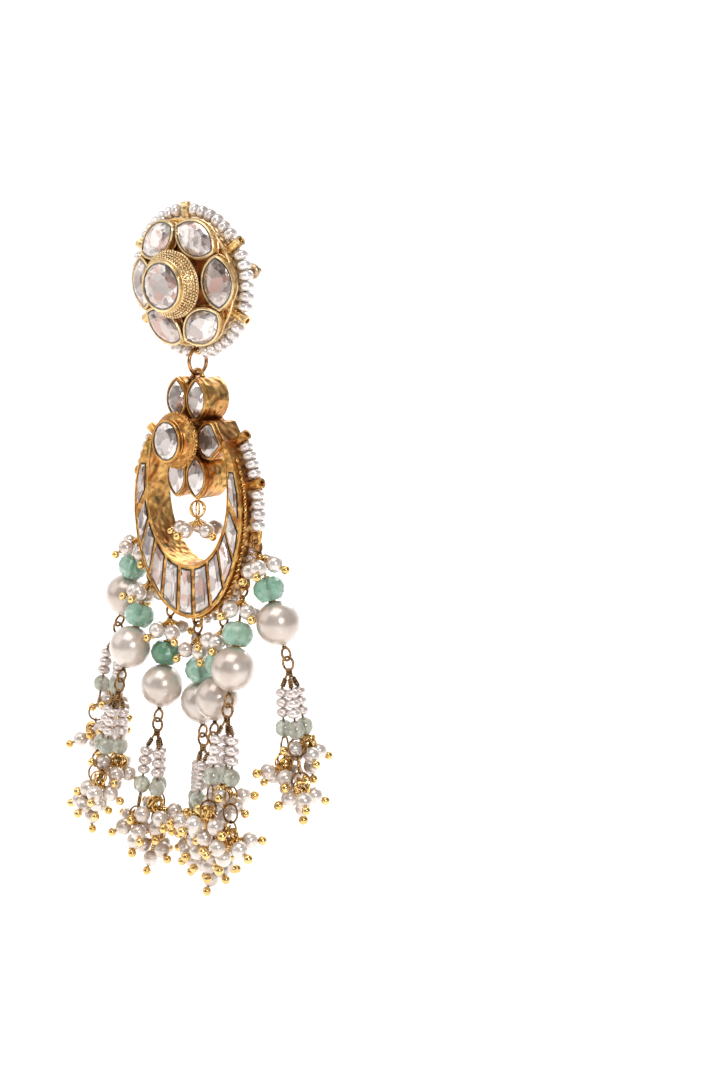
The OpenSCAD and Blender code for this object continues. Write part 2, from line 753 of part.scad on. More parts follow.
// One strand hangs straight from the top of its seed pearls
module strand(drop, j) {
    rod(strand_at(drop, j, knot_out, knot_z - knot_out), strand_point(drop, j, solder), wire);
    on_pin(strand_point(drop, j, 0), strand_way(drop, j)) {
        cylinder(h = seed_len, r = seed_r, $fn = 24);
        translate([0, 0, seed_len - solder])
            cylinder(h = strand_len(drop, j) - seed_len + solder, r = wire, $fn = 24);
        translate([0, 0, strand_len(drop, j)]) sphere(r = coil_r, $fn = 24);
    }
    for (k = [0 : tassel_pins - 1]) pin(strand_head(drop, j), tassel_pin_way(drop, j, k), tassel_pin_len);
}

module tassel(drop) color("#c9a08a") tassel_place(drop) {
    translate([0, 0, tassel_ring_z]) rotate([90, 0, 0]) torus(tassel_ring_r, wire);
    rotate([0, 0, 45]) ball([0, 0, knot_z], knot_r);
    for (j = [0 : strands - 1]) strand(drop, j);
}

module pale_beads() color("#b9d8c4") for (drop = drops) tassel_place(drop) for (j = [0 : strands - 1])
    on_pin(strand_point(drop, j, pale_down), strand_way(drop, j)) round_bead(pale_d / 2, bead_bore_r);

module tassel_pearls() color("#e6ddd6") for (drop = drops) tassel_place(drop)
    for (j = [0 : strands - 1], k = [0 : tassel_pins - 1]) {
        way = tassel_pin_way(drop, j, k);
        on_pin(strand_head(drop, j) + way * tassel_pin_len, way) round_bead(small_pearl_d / 2, bead_bore_r);
    }

// Inner drop

inner_loop_z = -(inner_loop_r - eye_wire - wire - gap);
inner_ring_z = inner_loop_z - inner_loop_r - inner_ring_r - inner_ring_below;
inner_head_z = inner_ring_z - inner_ring_r - inner_head_below;

function inner_pin_way(k) = pin_way(360 / inner_pins * k - 90, inner_pin_angle);

module inner_place() translate([0, bail_place[1], bail_place[2] + crossbar_y]) children();

module inner_drop_wire() color("#c08a3e") inner_place() {
    translate([0, 0, inner_loop_z]) loop(inner_loop_r, wire);
    translate([0, 0, inner_ring_z + inner_ring_r])
        cylinder(h = inner_ring_below + 2 * inner_wire_lap, r = wire, $fn = 24);
    translate([0, 0, inner_ring_z]) rotate([90, 0, 0]) torus(inner_ring_r, wire);
    translate([0, 0, inner_head_z]) cylinder(h = inner_head_below + inner_wire_lap, r = wire, $fn = 24);
    ball([0, 0, inner_head_z], inner_hub_r);
    for (k = [0 : inner_pins - 1])
        pin([0, 0, inner_head_z], inner_pin_way(k), inner_pin_len);
}

module inner_drop_pearls() color("#e6ddd6") inner_place() for (k = [0 : inner_pins - 1])
    on_pin([0, 0, inner_head_z] + inner_pin_len * inner_pin_way(k), inner_pin_way(k))
        round_bead(small_pearl_d / 2, bead_bore_r);

rosette_frame();
ear_post();
ear_nut();
rosette_centre_stone();
for (i = [0 : petals - 1]) petal_stone(i);
rosette_pearls();
rosette_thread();
jump_ring();
chand_frame();
chand_centre_stone();
marquise_stone(-marquise_x, top_y);  // top_stone_left
marquise_stone(marquise_x, top_y);  // top_stone_right
pear_stone(-1);  // pear_stone_left
pear_stone(1);  // pear_stone_right
marquise_stone(-marquise_x, low_y);  // low_stone_left
marquise_stone(marquise_x, low_y);  // low_stone_right
crescent_stones();
edge_pearls(-1);  // edge_pearls_left
edge_pearls(1);  // edge_pearls_right
edge_thread(-1);  // edge_thread_left
edge_thread(1);  // edge_thread_right
for (i = [0 : len(drops) - 1]) drop_pin(drops[i]);
for (i = [0 : len(drops) - 1]) green_bead(drops[i]);
for (i = [0 : len(drops) - 1]) large_pearl(drops[i]);
for (i = [0 : len(drops) - 1]) tassel(drops[i]);
head_pearls();
pale_beads();
tassel_pearls();
inner_drop_wire();
inner_drop_pearls();
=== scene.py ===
"""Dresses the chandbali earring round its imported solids.

It adds cut stones, pearls, glass beads, wound wires, grains and rope strips with their finishes,
and sets the earring over a plain pale floor in soft light.

Lengths are in millimetres in the earring's own frame until a mesh is made, which is in metres.
Finishes measure in metres too, because their sockets do.
"""
import logging
import math
import random
from dataclasses import dataclass, field
from enum import Enum
from functools import cached_property
from typing import NamedTuple, Sequence

import bmesh
import bpy
from mathutils import Matrix, Vector


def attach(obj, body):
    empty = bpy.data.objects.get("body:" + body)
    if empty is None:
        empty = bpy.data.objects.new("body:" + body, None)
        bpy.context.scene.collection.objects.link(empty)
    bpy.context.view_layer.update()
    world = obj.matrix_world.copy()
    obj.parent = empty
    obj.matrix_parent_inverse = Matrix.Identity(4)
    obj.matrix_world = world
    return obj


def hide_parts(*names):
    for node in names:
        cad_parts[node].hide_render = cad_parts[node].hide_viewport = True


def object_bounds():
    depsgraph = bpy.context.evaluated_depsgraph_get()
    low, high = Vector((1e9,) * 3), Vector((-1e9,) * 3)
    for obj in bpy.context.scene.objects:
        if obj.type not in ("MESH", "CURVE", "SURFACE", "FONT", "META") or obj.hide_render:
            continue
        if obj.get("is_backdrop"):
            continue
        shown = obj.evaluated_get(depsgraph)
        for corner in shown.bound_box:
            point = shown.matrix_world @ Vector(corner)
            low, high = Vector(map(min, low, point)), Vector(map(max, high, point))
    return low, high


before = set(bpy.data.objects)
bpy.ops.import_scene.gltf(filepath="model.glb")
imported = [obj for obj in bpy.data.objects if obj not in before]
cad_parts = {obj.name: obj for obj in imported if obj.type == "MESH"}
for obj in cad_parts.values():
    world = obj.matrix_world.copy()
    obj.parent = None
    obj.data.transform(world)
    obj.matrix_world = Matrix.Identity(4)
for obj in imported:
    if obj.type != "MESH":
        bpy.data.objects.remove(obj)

MM = 0.001
TURN = 2 * math.pi
QUARTER = math.pi / 2
FACET = "facet"
SHARP_ANGLE = 50
BEAD_GAP = 0.03
GRAIN_PITCH = 2.1  # in radii of a grain
LOG = logging.getLogger("earring")

Colour = tuple[float, float, float, float]
Outline = Sequence[tuple[float, float]]
Node = bpy.types.Node
Socket = bpy.types.NodeSocket


class Body(Enum):
    """The moving bodies that pieces ride on."""

    ROSETTE = "rosette"
    LINK = "link"
    PENDANT = "pendant"


# Points, frames and outlines


def polar(radius: float, angle: float, z: float = 0.0) -> Vector:
    """A point at a radius, at an angle in radians and at a height."""
    return Vector((radius * math.cos(angle), radius * math.sin(angle), z))


def lift(z: float) -> Matrix:
    """A shift along Z."""
    return Matrix.Translation((0, 0, z))


def spun(angle: float, axis: str) -> Matrix:
    """A turn in radians about an axis."""
    return Matrix.Rotation(angle, 4, axis)


def turned(x: float, y: float) -> Matrix:
    """Turns about X first and then about Y, in degrees."""
    return spun(math.radians(y), "Y") @ spun(math.radians(x), "X")


def along(at: Vector, way: Vector) -> Matrix:
    """A place at a point, with its Z along a way."""
    return Matrix.Translation(at) @ way.to_track_quat("Z", "Y").to_matrix().to_4x4()


def heading(place: Matrix, way: Vector) -> Vector:
    """A way of a place's frame as it runs in the earring's frame."""
    return place.to_3x3() @ way


def way_of(turn: float, down: float) -> Vector:
    """The way of a pin that leans down from level.

    Args:
        turn: Degrees round the drop.
        down: Degrees below level.

    Returns:
        A unit vector.
    """
    t, d = math.radians(turn), math.radians(down)
    return Vector((math.cos(t) * math.cos(d), math.sin(t) * math.cos(d), -math.sin(d)))


def raised(place: Matrix, outline: Outline, z: float) -> list[Vector]:
    """An outline's points at a height of a place."""
    return [place @ Vector((x, y, z)) for x, y in outline]


def ellipse(a: float, b: float, n: int) -> list[tuple[float, float]]:
    """An ellipse of n points."""
    return [(a * math.cos(TURN * i / n), b * math.sin(TURN * i / n)) for i in range(n)]


def pointed_oval(half_len: float, half_w: float, n: int) -> list[tuple[float, float]]:
    """Draws a pointed oval of two arcs.

    Args:
        half_len: Half its length, from point to point along Y.
        half_w: Half its width.
        n: Points of each arc.

    Returns:
        Its outline, round once.
    """
    r = (half_len ** 2 + half_w ** 2) / (2 * half_w)
    off, end = r - half_w, math.asin(half_len / r)
    angles = [-end + 2 * end * i / n for i in range(n)]
    right = [(r * math.cos(t) - off, r * math.sin(t)) for t in angles]
    return right + [(-x, -y) for x, y in right]


def round_profile(
    radius: float, half: float, rows: int, square: float = 2.0
) -> list[tuple[float, float]]:
    """Draws the profile of a bead.

    Args:
        radius: Largest radius.
        half: Half the height.
        rows: Rows from pole to pole.
        square: 2 for round; more for a fuller shoulder.

    Returns:
        Points of radius and height, from pole to pole.
    """
    out = []
    for i in range(rows + 1):
        t = math.pi * i / rows - math.pi / 2
        c, s = max(math.cos(t), 0.0), math.sin(t)
        out.append((radius * c ** (2 / square), half * math.copysign(abs(s) ** (2 / square), s)))
    return out


def resample(path: Sequence[Vector], count: int, closed: bool) -> list[Vector]:
    """Sets evenly spaced points along a path.

    Args:
        path: The path's points.
        count: How many points are wanted.
        closed: True if the path runs round to its start.

    Returns:
        The new points.
    """
    line = list(path) + ([path[0]] if closed else [])
    marks = [0.0]
    for a, b in zip(line, line[1:]):
        marks.append(marks[-1] + (b - a).length)
    parts = count if closed else count - 1
    out, k = [], 0
    for i in range(count):
        want = marks[-1] * i / parts
        while k < len(marks) - 2 and marks[k + 1] < want:
            k += 1
        share = (want - marks[k]) / max(marks[k + 1] - marks[k], 1e-9)
        out.append(line[k].lerp(line[k + 1], min(share, 1.0)))
    return out


@dataclass(frozen=True)
class Places:
    """Where the stud, the link and the pendant hang.

    Attributes:
        lean: How far the stud's face leans, in degrees.
        base_r: Radius of the stud's round frame.
        base_h: Height of its wall.
        pearl_ring_r: Radius of the ring of pearls round it.
        pearl_plane: Height of that ring over the stud's back.
        eye_drop: How far the eye's wire hangs below the ring of pearls.
        ring_r: Radius of the jump ring, to the middle of its wire.
        ring_wire: Radius of its wire.
        ring_reach: From the ring's middle to the wires that it holds.
        depth: Depth of the pendant.
    """

    lean: float = 7.0
    base_r: float = 10.1
    base_h: float = 3.0
    pearl_ring_r: float = 11.4
    pearl_plane: float = 1.4
    eye_drop: float = 0.2
    ring_r: float = 2.05
    ring_wire: float = 0.3
    ring_reach: float = 1.33
    depth: float = 5.5

    @property
    def eye(self) -> Vector:
        """The middle of the eye's wire at the rosette's foot."""
        lean, drop = math.radians(self.lean), self.pearl_ring_r + self.eye_drop
        return Vector((
            0,
            -self.pearl_plane * math.cos(lean) + drop * math.sin(lean),
            -self.pearl_plane * math.sin(lean) - drop * math.cos(lean),
        ))

    @property
    def ring(self) -> Vector:
        """The middle of the jump ring."""
        return self.eye - Vector((0, 0, self.ring_reach))

    @property
    def bail(self) -> Vector:
        """The middle of the bail's wire."""
        return self.ring - Vector((0, 0, self.ring_reach))

    @property
    def rosette(self) -> Matrix:
        """The rosette's face frame: X to the side, Y up, Z forward."""
        return spun(math.radians(self.lean + 90), "X")

    @property
    def pendant(self) -> Matrix:
        """The pendant's face frame, measured from the bail and the pendant's back."""
        at = self.bail + Vector((0, self.depth / 2, 0))
        return Matrix.Translation(at) @ spun(QUARTER, "X")


PLACES = Places()


# Nodes and finishes


class NodePen:
    """Writes nodes and links into one node tree."""

    # Sockets of the mix node for colours, which have the same names as its other ones
    MIX_FACTOR, MIX_FIRST, MIX_SECOND, MIX_RESULT = 0, 6, 7, 2

    def __init__(self, tree: bpy.types.NodeTree) -> None:
        """Keeps the tree."""
        self.tree = tree

    def put(self, socket: Socket, value: object) -> None:
        """Feeds an input.

        Args:
            socket: The input.
            value: A node or socket to link to it, or its value.
        """
        if isinstance(value, Node):
            value = value.outputs[0]
        if isinstance(value, Socket):
            self.tree.links.new(value, socket)
        else:
            socket.default_value = value

    def add(self, kind: str, inputs: dict | None = None, **settings: object) -> Node:
        """Adds a node.

        Args:
            kind: The node's type name.
            inputs: Values, nodes or sockets by the input's name or number.
            settings: The node's own properties.

        Returns:
            The node.
        """
        node = self.tree.nodes.new(kind)
        for name, value in settings.items():
            setattr(node, name, value)
        for name, value in (inputs or {}).items():
            self.put(node.inputs[name], value)
        return node

    def math(self, how: str, first: object, second: object) -> Node:
        """Adds a sum, difference or product of two numbers."""
        return self.add("ShaderNodeMath", {0: first, 1: second}, operation=how)

    def ramp(self, factor: object, stops: Sequence[tuple[float, Colour]]) -> Node:
        """Adds a colour ramp.

        Args:
            factor: What runs along it.
            stops: Place and colour of each stop.

        Returns:
            The node.
        """
        node = self.add("ShaderNodeValToRGB", {"Fac": factor})
        points = node.color_ramp.elements
        while len(points) < len(stops):
            points.new(0.5)
        for point, (place, colour) in zip(points, stops):
            point.position, point.color = place, colour
        return node

    def fade(self, factor: object, start: float, end: float, low: float, high: float) -> Node:
        """Adds a ramp of greys.

        Args:
            factor: What runs along it.
            start: Where it leaves the first grey.
            end: Where it reaches the last one.
            low: The first grey.
            high: The last grey.

        Returns:
            The node.
        """
        greys = [(value, value, value, 1.0) for value in (low, high)]
        return self.ramp(factor, list(zip((start, end), greys)))

    def mix(self, factor: object, first: object, second: object) -> Socket:
        """Mixes two colours.

        Args:
            factor: The second colour's share.
            first: A colour.
            second: Another one.

        Returns:
            The socket with the result.
        """
        node = self.add("ShaderNodeMix", data_type="RGBA", blend_type="MIX")
        self.put(node.inputs[self.MIX_FACTOR], factor)
        self.put(node.inputs[self.MIX_FIRST], first)
        self.put(node.inputs[self.MIX_SECOND], second)
        return node.outputs[self.MIX_RESULT]

    def bump(self, height: object, strength: float, distance: float, under: object = None) -> Node:
        """Adds a bump.

        Args:
            height: What it stands on.
            strength: Its strength.
            distance: Its depth, in metres.
            under: Another bump that it lies over.

        Returns:
            The node.
        """
        node = self.add(
            "ShaderNodeBump", {"Height": height, "Strength": strength, "Distance": distance}
        )
        if under is not None:
            self.put(node.inputs["Normal"], under)
        return node


class SkinPen(NodePen):
    """Writes a material's nodes, on the piece's own coordinates.

    Attributes:
        shader: The material's shader.
        where: The coordinates.
    """

    def __init__(self, tree: bpy.types.NodeTree) -> None:
        """Finds the shader and adds the coordinates.

        Args:
            tree: The material's tree.
        """
        super().__init__(tree)
        self.shader = tree.nodes["Principled BSDF"]
        self.where = self.add("ShaderNodeTexCoord").outputs["Object"]

    def noise(self, scale: float, detail: float = 3, rough: float = 0.55) -> Node:
        """Adds a noise texture.

        Args:
            scale: Its scale, per metre.
            detail: Its finer layers.
            rough: How strong these are.

        Returns:
            The node.
        """
        return self.add(
            "ShaderNodeTexNoise",
            {"Vector": self.where, "Scale": scale, "Detail": detail, "Roughness": rough},
        )

    def feed(self, inputs: dict[str, object]) -> None:
        """Feeds the shader.

        Args:
            inputs: Values, nodes or sockets by the input's name.
        """
        for name, value in inputs.items():
            self.put(self.shader.inputs[name], value)


def darker(colour: Colour, share: float) -> Colour:
    """A share of a colour's strength."""
    return tuple(share * part for part in colour[:3]) + (1.0,)


@dataclass(frozen=True)
class Finish:
    """One finish, with the name of a record's material slot.

    Attributes:
        name: The material's name.
        slot: The record's material slot; not used.
    """

    name: str
    slot: str

    def write(self, pen: SkinPen) -> None:
        """Writes the finish's nodes.

        Args:
            pen: Writes into the material's tree.
        """
        raise NotImplementedError

    @cached_property
    def material(self) -> bpy.types.Material:
        """The material, made on first use."""
        material = bpy.data.materials.new(self.name)
        material.use_nodes = True
        self.write(SkinPen(material.node_tree))
        return material


@dataclass(frozen=True)
class MetalFinish(Finish):
    """Gilt or bronze with blotches, stains, patina and painted shade in corners, and a hammered skin.

    Attributes:
        bright: Colour of the worn places.
        dull: Colour between them.
        stain: Colour of the spots of tarnish.
        patina_and_shade: Colour of the patina and painted shade in the corners.
        roughness: Least and greatest roughness.
        blotch: Scale of the blotches.
        spots: How much finer the spots of tarnish are.
        stain_from: Where they start; less is more tarnish.
        stain_edge: Width of their edge.
        hammer: Strength of the hammered dents.
        dents: Scale of the dents.
        dent_depth: Their depth.
        grain: Strength of the finer grain on them.
        finer: How much finer and shallower it is.
        patina_and_shade_reach: How far the patina and painted shade of a corner reach.
        patina_and_shade_share: How dark the patina and painted shade get.
    """

    bright: Colour
    dull: Colour
    stain: Colour
    patina_and_shade: Colour
    roughness: tuple[float, float] = (0.22, 0.42)
    blotch: float = 420.0
    spots: float = 1.9
    stain_from: float = 0.62
    stain_edge: float = 0.1
    hammer: float = 0.5
    dents: float = 900.0
    dent_depth: float = 0.00012
    grain: float = 0.25
    finer: float = 4.0
    patina_and_shade_reach: float = 0.0012
    patina_and_shade_share: float = 0.8

    def write(self, pen: SkinPen) -> None:
        """Writes the metal's colour, patina and painted shade in corners, its roughness and its skin.

        Args:
            pen: Writes into the material's tree.
        """
        base = pen.ramp(pen.noise(self.blotch, 4), [(0.36, self.dull), (0.62, self.bright)])
        spots = pen.noise(self.blotch * self.spots, 5, 0.62)
        stained = pen.fade(spots, self.stain_from, self.stain_from + self.stain_edge, 0, 1)
        colour = pen.mix(stained, base, self.stain)
        # Patina and painted shade: ambient occlusion darkens the corners towards the recess colour.
        hollow = pen.add(
            "ShaderNodeAmbientOcclusion", {"Distance": self.patina_and_shade_reach}, samples=6, only_local=False
        )
        depth = pen.fade(hollow.outputs["AO"], 0.3, 0.85, self.patina_and_shade_share, 0)
        dents = pen.add(
            "ShaderNodeTexVoronoi", {"Vector": pen.where, "Scale": self.dents, "Smoothness": 0.6},
            feature="SMOOTH_F1",
        )
        hammered = pen.bump(dents.outputs["Distance"], self.hammer, self.dent_depth)
        grain = pen.noise(self.dents * self.finer, 3)
        pen.feed({
            "Base Color": pen.mix(depth, colour, self.patina_and_shade),
            "Roughness": pen.fade(spots, 0.3, 0.75, *self.roughness),
            "Normal": pen.bump(grain, self.grain, self.dent_depth / self.finer, hammered),
            "Metallic": 1.0,
        })


@dataclass(frozen=True)
class PearlFinish(Finish):
    """Imitation pearl: a soft body under a clear skin, with faint clouds.

    Attributes:
        body: The pearl's colour.
        cloud: Colour of its clouds.
        roughness: Roughness under the skin.
        clouds: Scale of the clouds.
        skin_depth: Depth of the skin's unevenness.
    """

    body: Colour
    cloud: Colour
    roughness: float = 0.26
    clouds: float = 260.0
    skin_depth: float = 0.00001

    def write(self, pen: SkinPen) -> None:
        """Writes the pearl's clouds and its skin.

        Args:
            pen: Writes into the material's tree.
        """
        pen.feed({
            "Base Color": pen.ramp(pen.noise(self.clouds, 3), [(0.35, self.cloud), (0.6, self.body)]),
            "Normal": pen.bump(pen.noise(self.clouds * 6, 2), 0.1, self.skin_depth),
            "Roughness": self.roughness, "Metallic": 0.45, "Coat Weight": 0.8, "Coat Roughness": 0.1,
            "Specular IOR Level": 0.7,
        })


@dataclass(frozen=True)
class StoneFinish(Finish):
    """Foil-backed clear glass: painted reflections and shade in patches of the pavilion, under a
    polished skin.

    Attributes:
        bright: Colour of the patches of painted reflection.
        mid: Colour between bright and dark.
        dark: Colour of the patches of painted shade and of the painted shadow at the girdle.
        tint: Warm colour of a few patches.
        cells: Scale of the patches.
        warp: How far their edges wander.
        metal: How much the foil shows as metal.
    """

    bright: Colour
    mid: Colour
    dark: Colour
    tint: Colour = (0.5, 0.26, 0.2, 1)
    cells: float = 560.0
    warp: float = 0.0016
    metal: float = 0.55

    def write(self, pen: SkinPen) -> None:
        """Writes patches of painted reflection and shade, a chance shade for each facet, warm spots,
        a wash of painted reflection and the girdle's painted shadow.

        Args:
            pen: Writes into the material's tree.
        """
        warp = pen.noise(self.cells, 3).outputs["Color"]
        lead = pen.add("ShaderNodeVectorMath", {0: warp, 1: (self.warp,) * 3}, operation="MULTIPLY")
        place = pen.add("ShaderNodeVectorMath", {0: pen.where, 1: lead}, operation="ADD")
        inner = pen.add("ShaderNodeTexVoronoi", {"Vector": place, "Scale": self.cells})
        chance = pen.add("ShaderNodeSeparateColor", {0: inner.outputs["Color"]})
        facet = pen.add("ShaderNodeAttribute", attribute_name=FACET).outputs["Fac"]
        # Painted reflections and shade: cells and facets pick dark, mid or bright patches.
        shade = pen.math("MULTIPLY", pen.math("ADD", chance, facet), 0.5)
        patches = pen.ramp(shade, [(0.06, self.dark), (0.34, self.mid), (0.66, self.bright)])
        # A few cells take the warm tint.
        stain = pen.fade(chance.outputs["Green"], 0.8, 0.86, 0, 0.7)
        warm = pen.mix(stain, patches, self.tint)
        # A broad wash of painted reflection, towards the bright colour.
        reflection_wash = pen.fade(pen.noise(self.cells * 0.45, 4), 0.54, 0.66, 0, 0.5)
        pale = pen.mix(reflection_wash, warm, self.bright)
        # Painted shadow at the girdle: faces marked nought take the dark colour.
        girdle = pen.fade(facet, 0.01, 0.04, 1, 0)
        pen.feed({
            "Base Color": pen.mix(girdle, pale, self.dark),
            "Normal": pen.bump(inner.outputs["Distance"], 0.3, 0.0002),
            "Metallic": self.metal, "Roughness": 0.14, "Coat Weight": 1.0, "Coat Roughness": 0.02,
            "Coat IOR": 1.6, "Specular IOR Level": 0.8,
        })


@dataclass(frozen=True)
class GlassBeadFinish(Finish):
    """Milky green glass with lighter veins.

    Attributes:
        deep: Its dark colour.
        light: Colour of the veins.
        veins: Scale of the veins.
        batches: Scale at which one bead differs from the next.
        clear: How much light passes through.
    """

    deep: Colour
    light: Colour
    veins: float = 380.0
    batches: float = 90.0
    clear: float = 0.25

    def write(self, pen: SkinPen) -> None:
        """Writes the veins, the batches and a faint bump.

        Args:
            pen: Writes into the material's tree.
        """
        cloud = pen.ramp(pen.noise(self.veins, 4, 0.6), [(0.34, self.deep), (0.64, self.light)])
        batch = pen.fade(pen.noise(self.batches, 0), 0.42, 0.58, 0.75, 0)
        pen.feed({
            "Base Color": pen.mix(batch, cloud, self.deep),
            "Normal": pen.bump(pen.noise(self.veins * 5, 2), 0.1, 0.00005),
            "Roughness": 0.14, "Transmission Weight": self.clear, "IOR": 1.5, "Coat Weight": 0.6,
            "Coat Roughness": 0.05, "Subsurface Weight": 0.25, "Subsurface Scale": 0.0012,
        })


@dataclass(frozen=True)
class ThreadFinish(Finish):
    """Twisted cotton thread.

    Attributes:
        body: Its colour.
        twist: Scale of the twist.
    """

    body: Colour
    twist: float = 2600.0

    def write(self, pen: SkinPen) -> None:
        """Writes the twist as shade and bump.

        Args:
            pen: Writes into the material's tree.
        """
        inputs = {"Vector": pen.where, "Scale": self.twist, "Distortion": 3.0}
        lay = pen.add("ShaderNodeTexWave", inputs).outputs["Fac"]
        pen.feed({
            "Base Color": pen.mix(lay, darker(self.body, 0.6), self.body),
            "Normal": pen.bump(lay, 0.4, 0.00005),
            "Roughness": 0.85,
        })


@dataclass(frozen=True)
class RoomFinish(Finish):
    """The plain pale surface of the floor or the walls, which glows a little.

    Attributes:
        shade: Its colour.
        roughness: Its roughness.
        glow: Strength of its own light.
    """

    shade: Colour
    roughness: float = 0.16
    glow: float = 0.62

    def write(self, pen: SkinPen) -> None:
        """Writes a faint haze.

        Args:
            pen: Writes into the material's tree.
        """
        haze = pen.ramp(pen.noise(6, 2), [(0.3, darker(self.shade, 0.985)), (0.7, self.shade)])
        pen.feed({
            "Base Color": haze, "Roughness": self.roughness, "Specular IOR Level": 0.35,
            "Emission Color": self.shade, "Emission Strength": self.glow,
        })


# Each metal's darkest colour is patina and painted shade in its corners.
STUD_GILT = MetalFinish(
    "stud_gilt", "polished_gold", bright=(0.92, 0.71, 0.39, 1), dull=(0.74, 0.5, 0.22, 1),
    stain=(0.42, 0.16, 0.035, 1), patina_and_shade=(0.26, 0.08, 0.015, 1), dents=1250, dent_depth=0.0003,
    blotch=500, patina_and_shade_share=0.5,
)
GRAIN_GILT = MetalFinish(
    "grain_gilt", "polished_gold", bright=(0.86, 0.67, 0.39, 1), dull=(0.68, 0.48, 0.24, 1),
    stain=(0.5, 0.25, 0.07, 1), patina_and_shade=(0.3, 0.11, 0.02, 1), hammer=0.2, patina_and_shade_reach=0.0005,
)
RUST_PLATE = MetalFinish(
    "rust_plate", "polished_gold", bright=(0.6, 0.24, 0.09, 1), dull=(0.36, 0.12, 0.04, 1),
    stain=(0.6, 0.32, 0.1, 1), patina_and_shade=(0.14, 0.04, 0.012, 1), stain_from=0.66,
    roughness=(0.45, 0.65), blotch=600, patina_and_shade_share=0.4,
)
PENDANT_GILT = MetalFinish(
    "pendant_gilt", "antique_gold", bright=(0.86, 0.5, 0.16, 1), dull=(0.42, 0.16, 0.04, 1),
    stain=(0.2, 0.15, 0.045, 1), patina_and_shade=(0.14, 0.035, 0.008, 1), stain_from=0.55, blotch=360,
    roughness=(0.24, 0.5), dents=850, dent_depth=0.0004, hammer=0.75, patina_and_shade_reach=0.0015,
    patina_and_shade_share=0.6,
)
ROPE_GILT = MetalFinish(
    "rope_gilt", "antique_gold", bright=(0.78, 0.46, 0.14, 1), dull=(0.46, 0.2, 0.05, 1),
    stain=(0.22, 0.09, 0.02, 1), patina_and_shade=(0.12, 0.03, 0.006, 1), hammer=0.3, patina_and_shade_reach=0.0005,
)
BRONZE_WIRE = MetalFinish(
    "drawn_bronze", "bronze_wire", bright=(0.42, 0.24, 0.1, 1), dull=(0.2, 0.1, 0.04, 1),
    stain=(0.1, 0.05, 0.02, 1), patina_and_shade=(0.05, 0.02, 0.01, 1), roughness=(0.2, 0.34), hammer=0.08,
    patina_and_shade_reach=0.0004,
)
LINK_WIRE = MetalFinish(
    "link_wire", "copper_wire", bright=(0.58, 0.31, 0.13, 1), dull=(0.33, 0.15, 0.06, 1),
    stain=(0.16, 0.07, 0.03, 1), patina_and_shade=(0.1, 0.04, 0.02, 1), roughness=(0.18, 0.3), hammer=0.08,
    patina_and_shade_reach=0.0004,
)
BRIGHT_GOLD = MetalFinish(
    "bright_gold", "bright_wire", bright=(0.9, 0.63, 0.27, 1), dull=(0.76, 0.48, 0.16, 1),
    stain=(0.48, 0.24, 0.07, 1), patina_and_shade=(0.4, 0.18, 0.04, 1), roughness=(0.14, 0.26), hammer=0.06,
    stain_from=0.7, patina_and_shade_reach=0.0004, patina_and_shade_share=0.4,
)
POST_GOLD = MetalFinish(
    "post_metal", "post_gold", bright=(0.7, 0.5, 0.24, 1), dull=(0.5, 0.33, 0.14, 1),
    stain=(0.3, 0.18, 0.08, 1), patina_and_shade=(0.15, 0.08, 0.03, 1), roughness=(0.16, 0.3), hammer=0.06,
)
NUT_METAL = MetalFinish(
    "nut_satin", "nut_metal", bright=(0.62, 0.46, 0.3, 1), dull=(0.42, 0.29, 0.18, 1),
    stain=(0.25, 0.16, 0.1, 1), patina_and_shade=(0.12, 0.07, 0.04, 1), roughness=(0.3, 0.45), hammer=0.15,
)
# The stones' bright, mid and dark colours are painted reflections and painted shade.
CLEAR_STONE = StoneFinish(
    "cut_clear_glass", "clear_stone", bright=(0.78, 0.7, 0.66, 1), mid=(0.38, 0.3, 0.265, 1),
    dark=(0.07, 0.05, 0.042, 1),
)
SMOKY_STONE = StoneFinish(
    "cut_smoky_glass", "smoky_stone", bright=(0.56, 0.47, 0.42, 1), mid=(0.26, 0.185, 0.155, 1),
    dark=(0.06, 0.038, 0.03, 1), cells=480,
)
DROP_PEARL = PearlFinish(
    "large_pearl_skin", "drop_pearl", body=(0.7, 0.61, 0.54, 1), cloud=(0.58, 0.47, 0.4, 1),
    roughness=0.3,
)
SMALL_PEARL = PearlFinish(
    "small_pearl_skin", "small_pearl", body=(0.8, 0.72, 0.66, 1), cloud=(0.62, 0.51, 0.44, 1),
    roughness=0.22,
)
RING_PEARL = PearlFinish(
    "ring_pearl_skin", "ring_pearl", body=(0.8, 0.74, 0.71, 1), cloud=(0.62, 0.54, 0.51, 1),
    roughness=0.22,
)
SEED_PEARL = PearlFinish(
    "seed_pearl_skin", "small_pearl", body=(0.8, 0.71, 0.67, 1), cloud=(0.6, 0.48, 0.43, 1),
    roughness=0.2,
)
JADE = GlassBeadFinish(
    "jade_glass", "jade_bead", deep=(0.2, 0.42, 0.29, 1), light=(0.6, 0.82, 0.69, 1), clear=0.45
)
DARK_JADE = GlassBeadFinish(
    "dark_jade_glass", "jade_bead", deep=(0.07, 0.2, 0.11, 1), light=(0.2, 0.42, 0.27, 1), clear=0.2
)
PALE_GREEN = GlassBeadFinish(
    "pale_green_glass", "pale_green", deep=(0.48, 0.48, 0.38, 1), light=(0.73, 0.75, 0.64, 1),
    clear=0.5,
)
COTTON = ThreadFinish("cotton_thread", "thread", body=(0.66, 0.6, 0.5, 1))
FLOOR = RoomFinish("pale_floor", "", shade=(0.93, 0.93, 0.93, 1))
WALL = RoomFinish("pale_wall", "", shade=(0.95, 0.95, 0.95, 1), roughness=0.6, glow=1.0)


# Making pieces


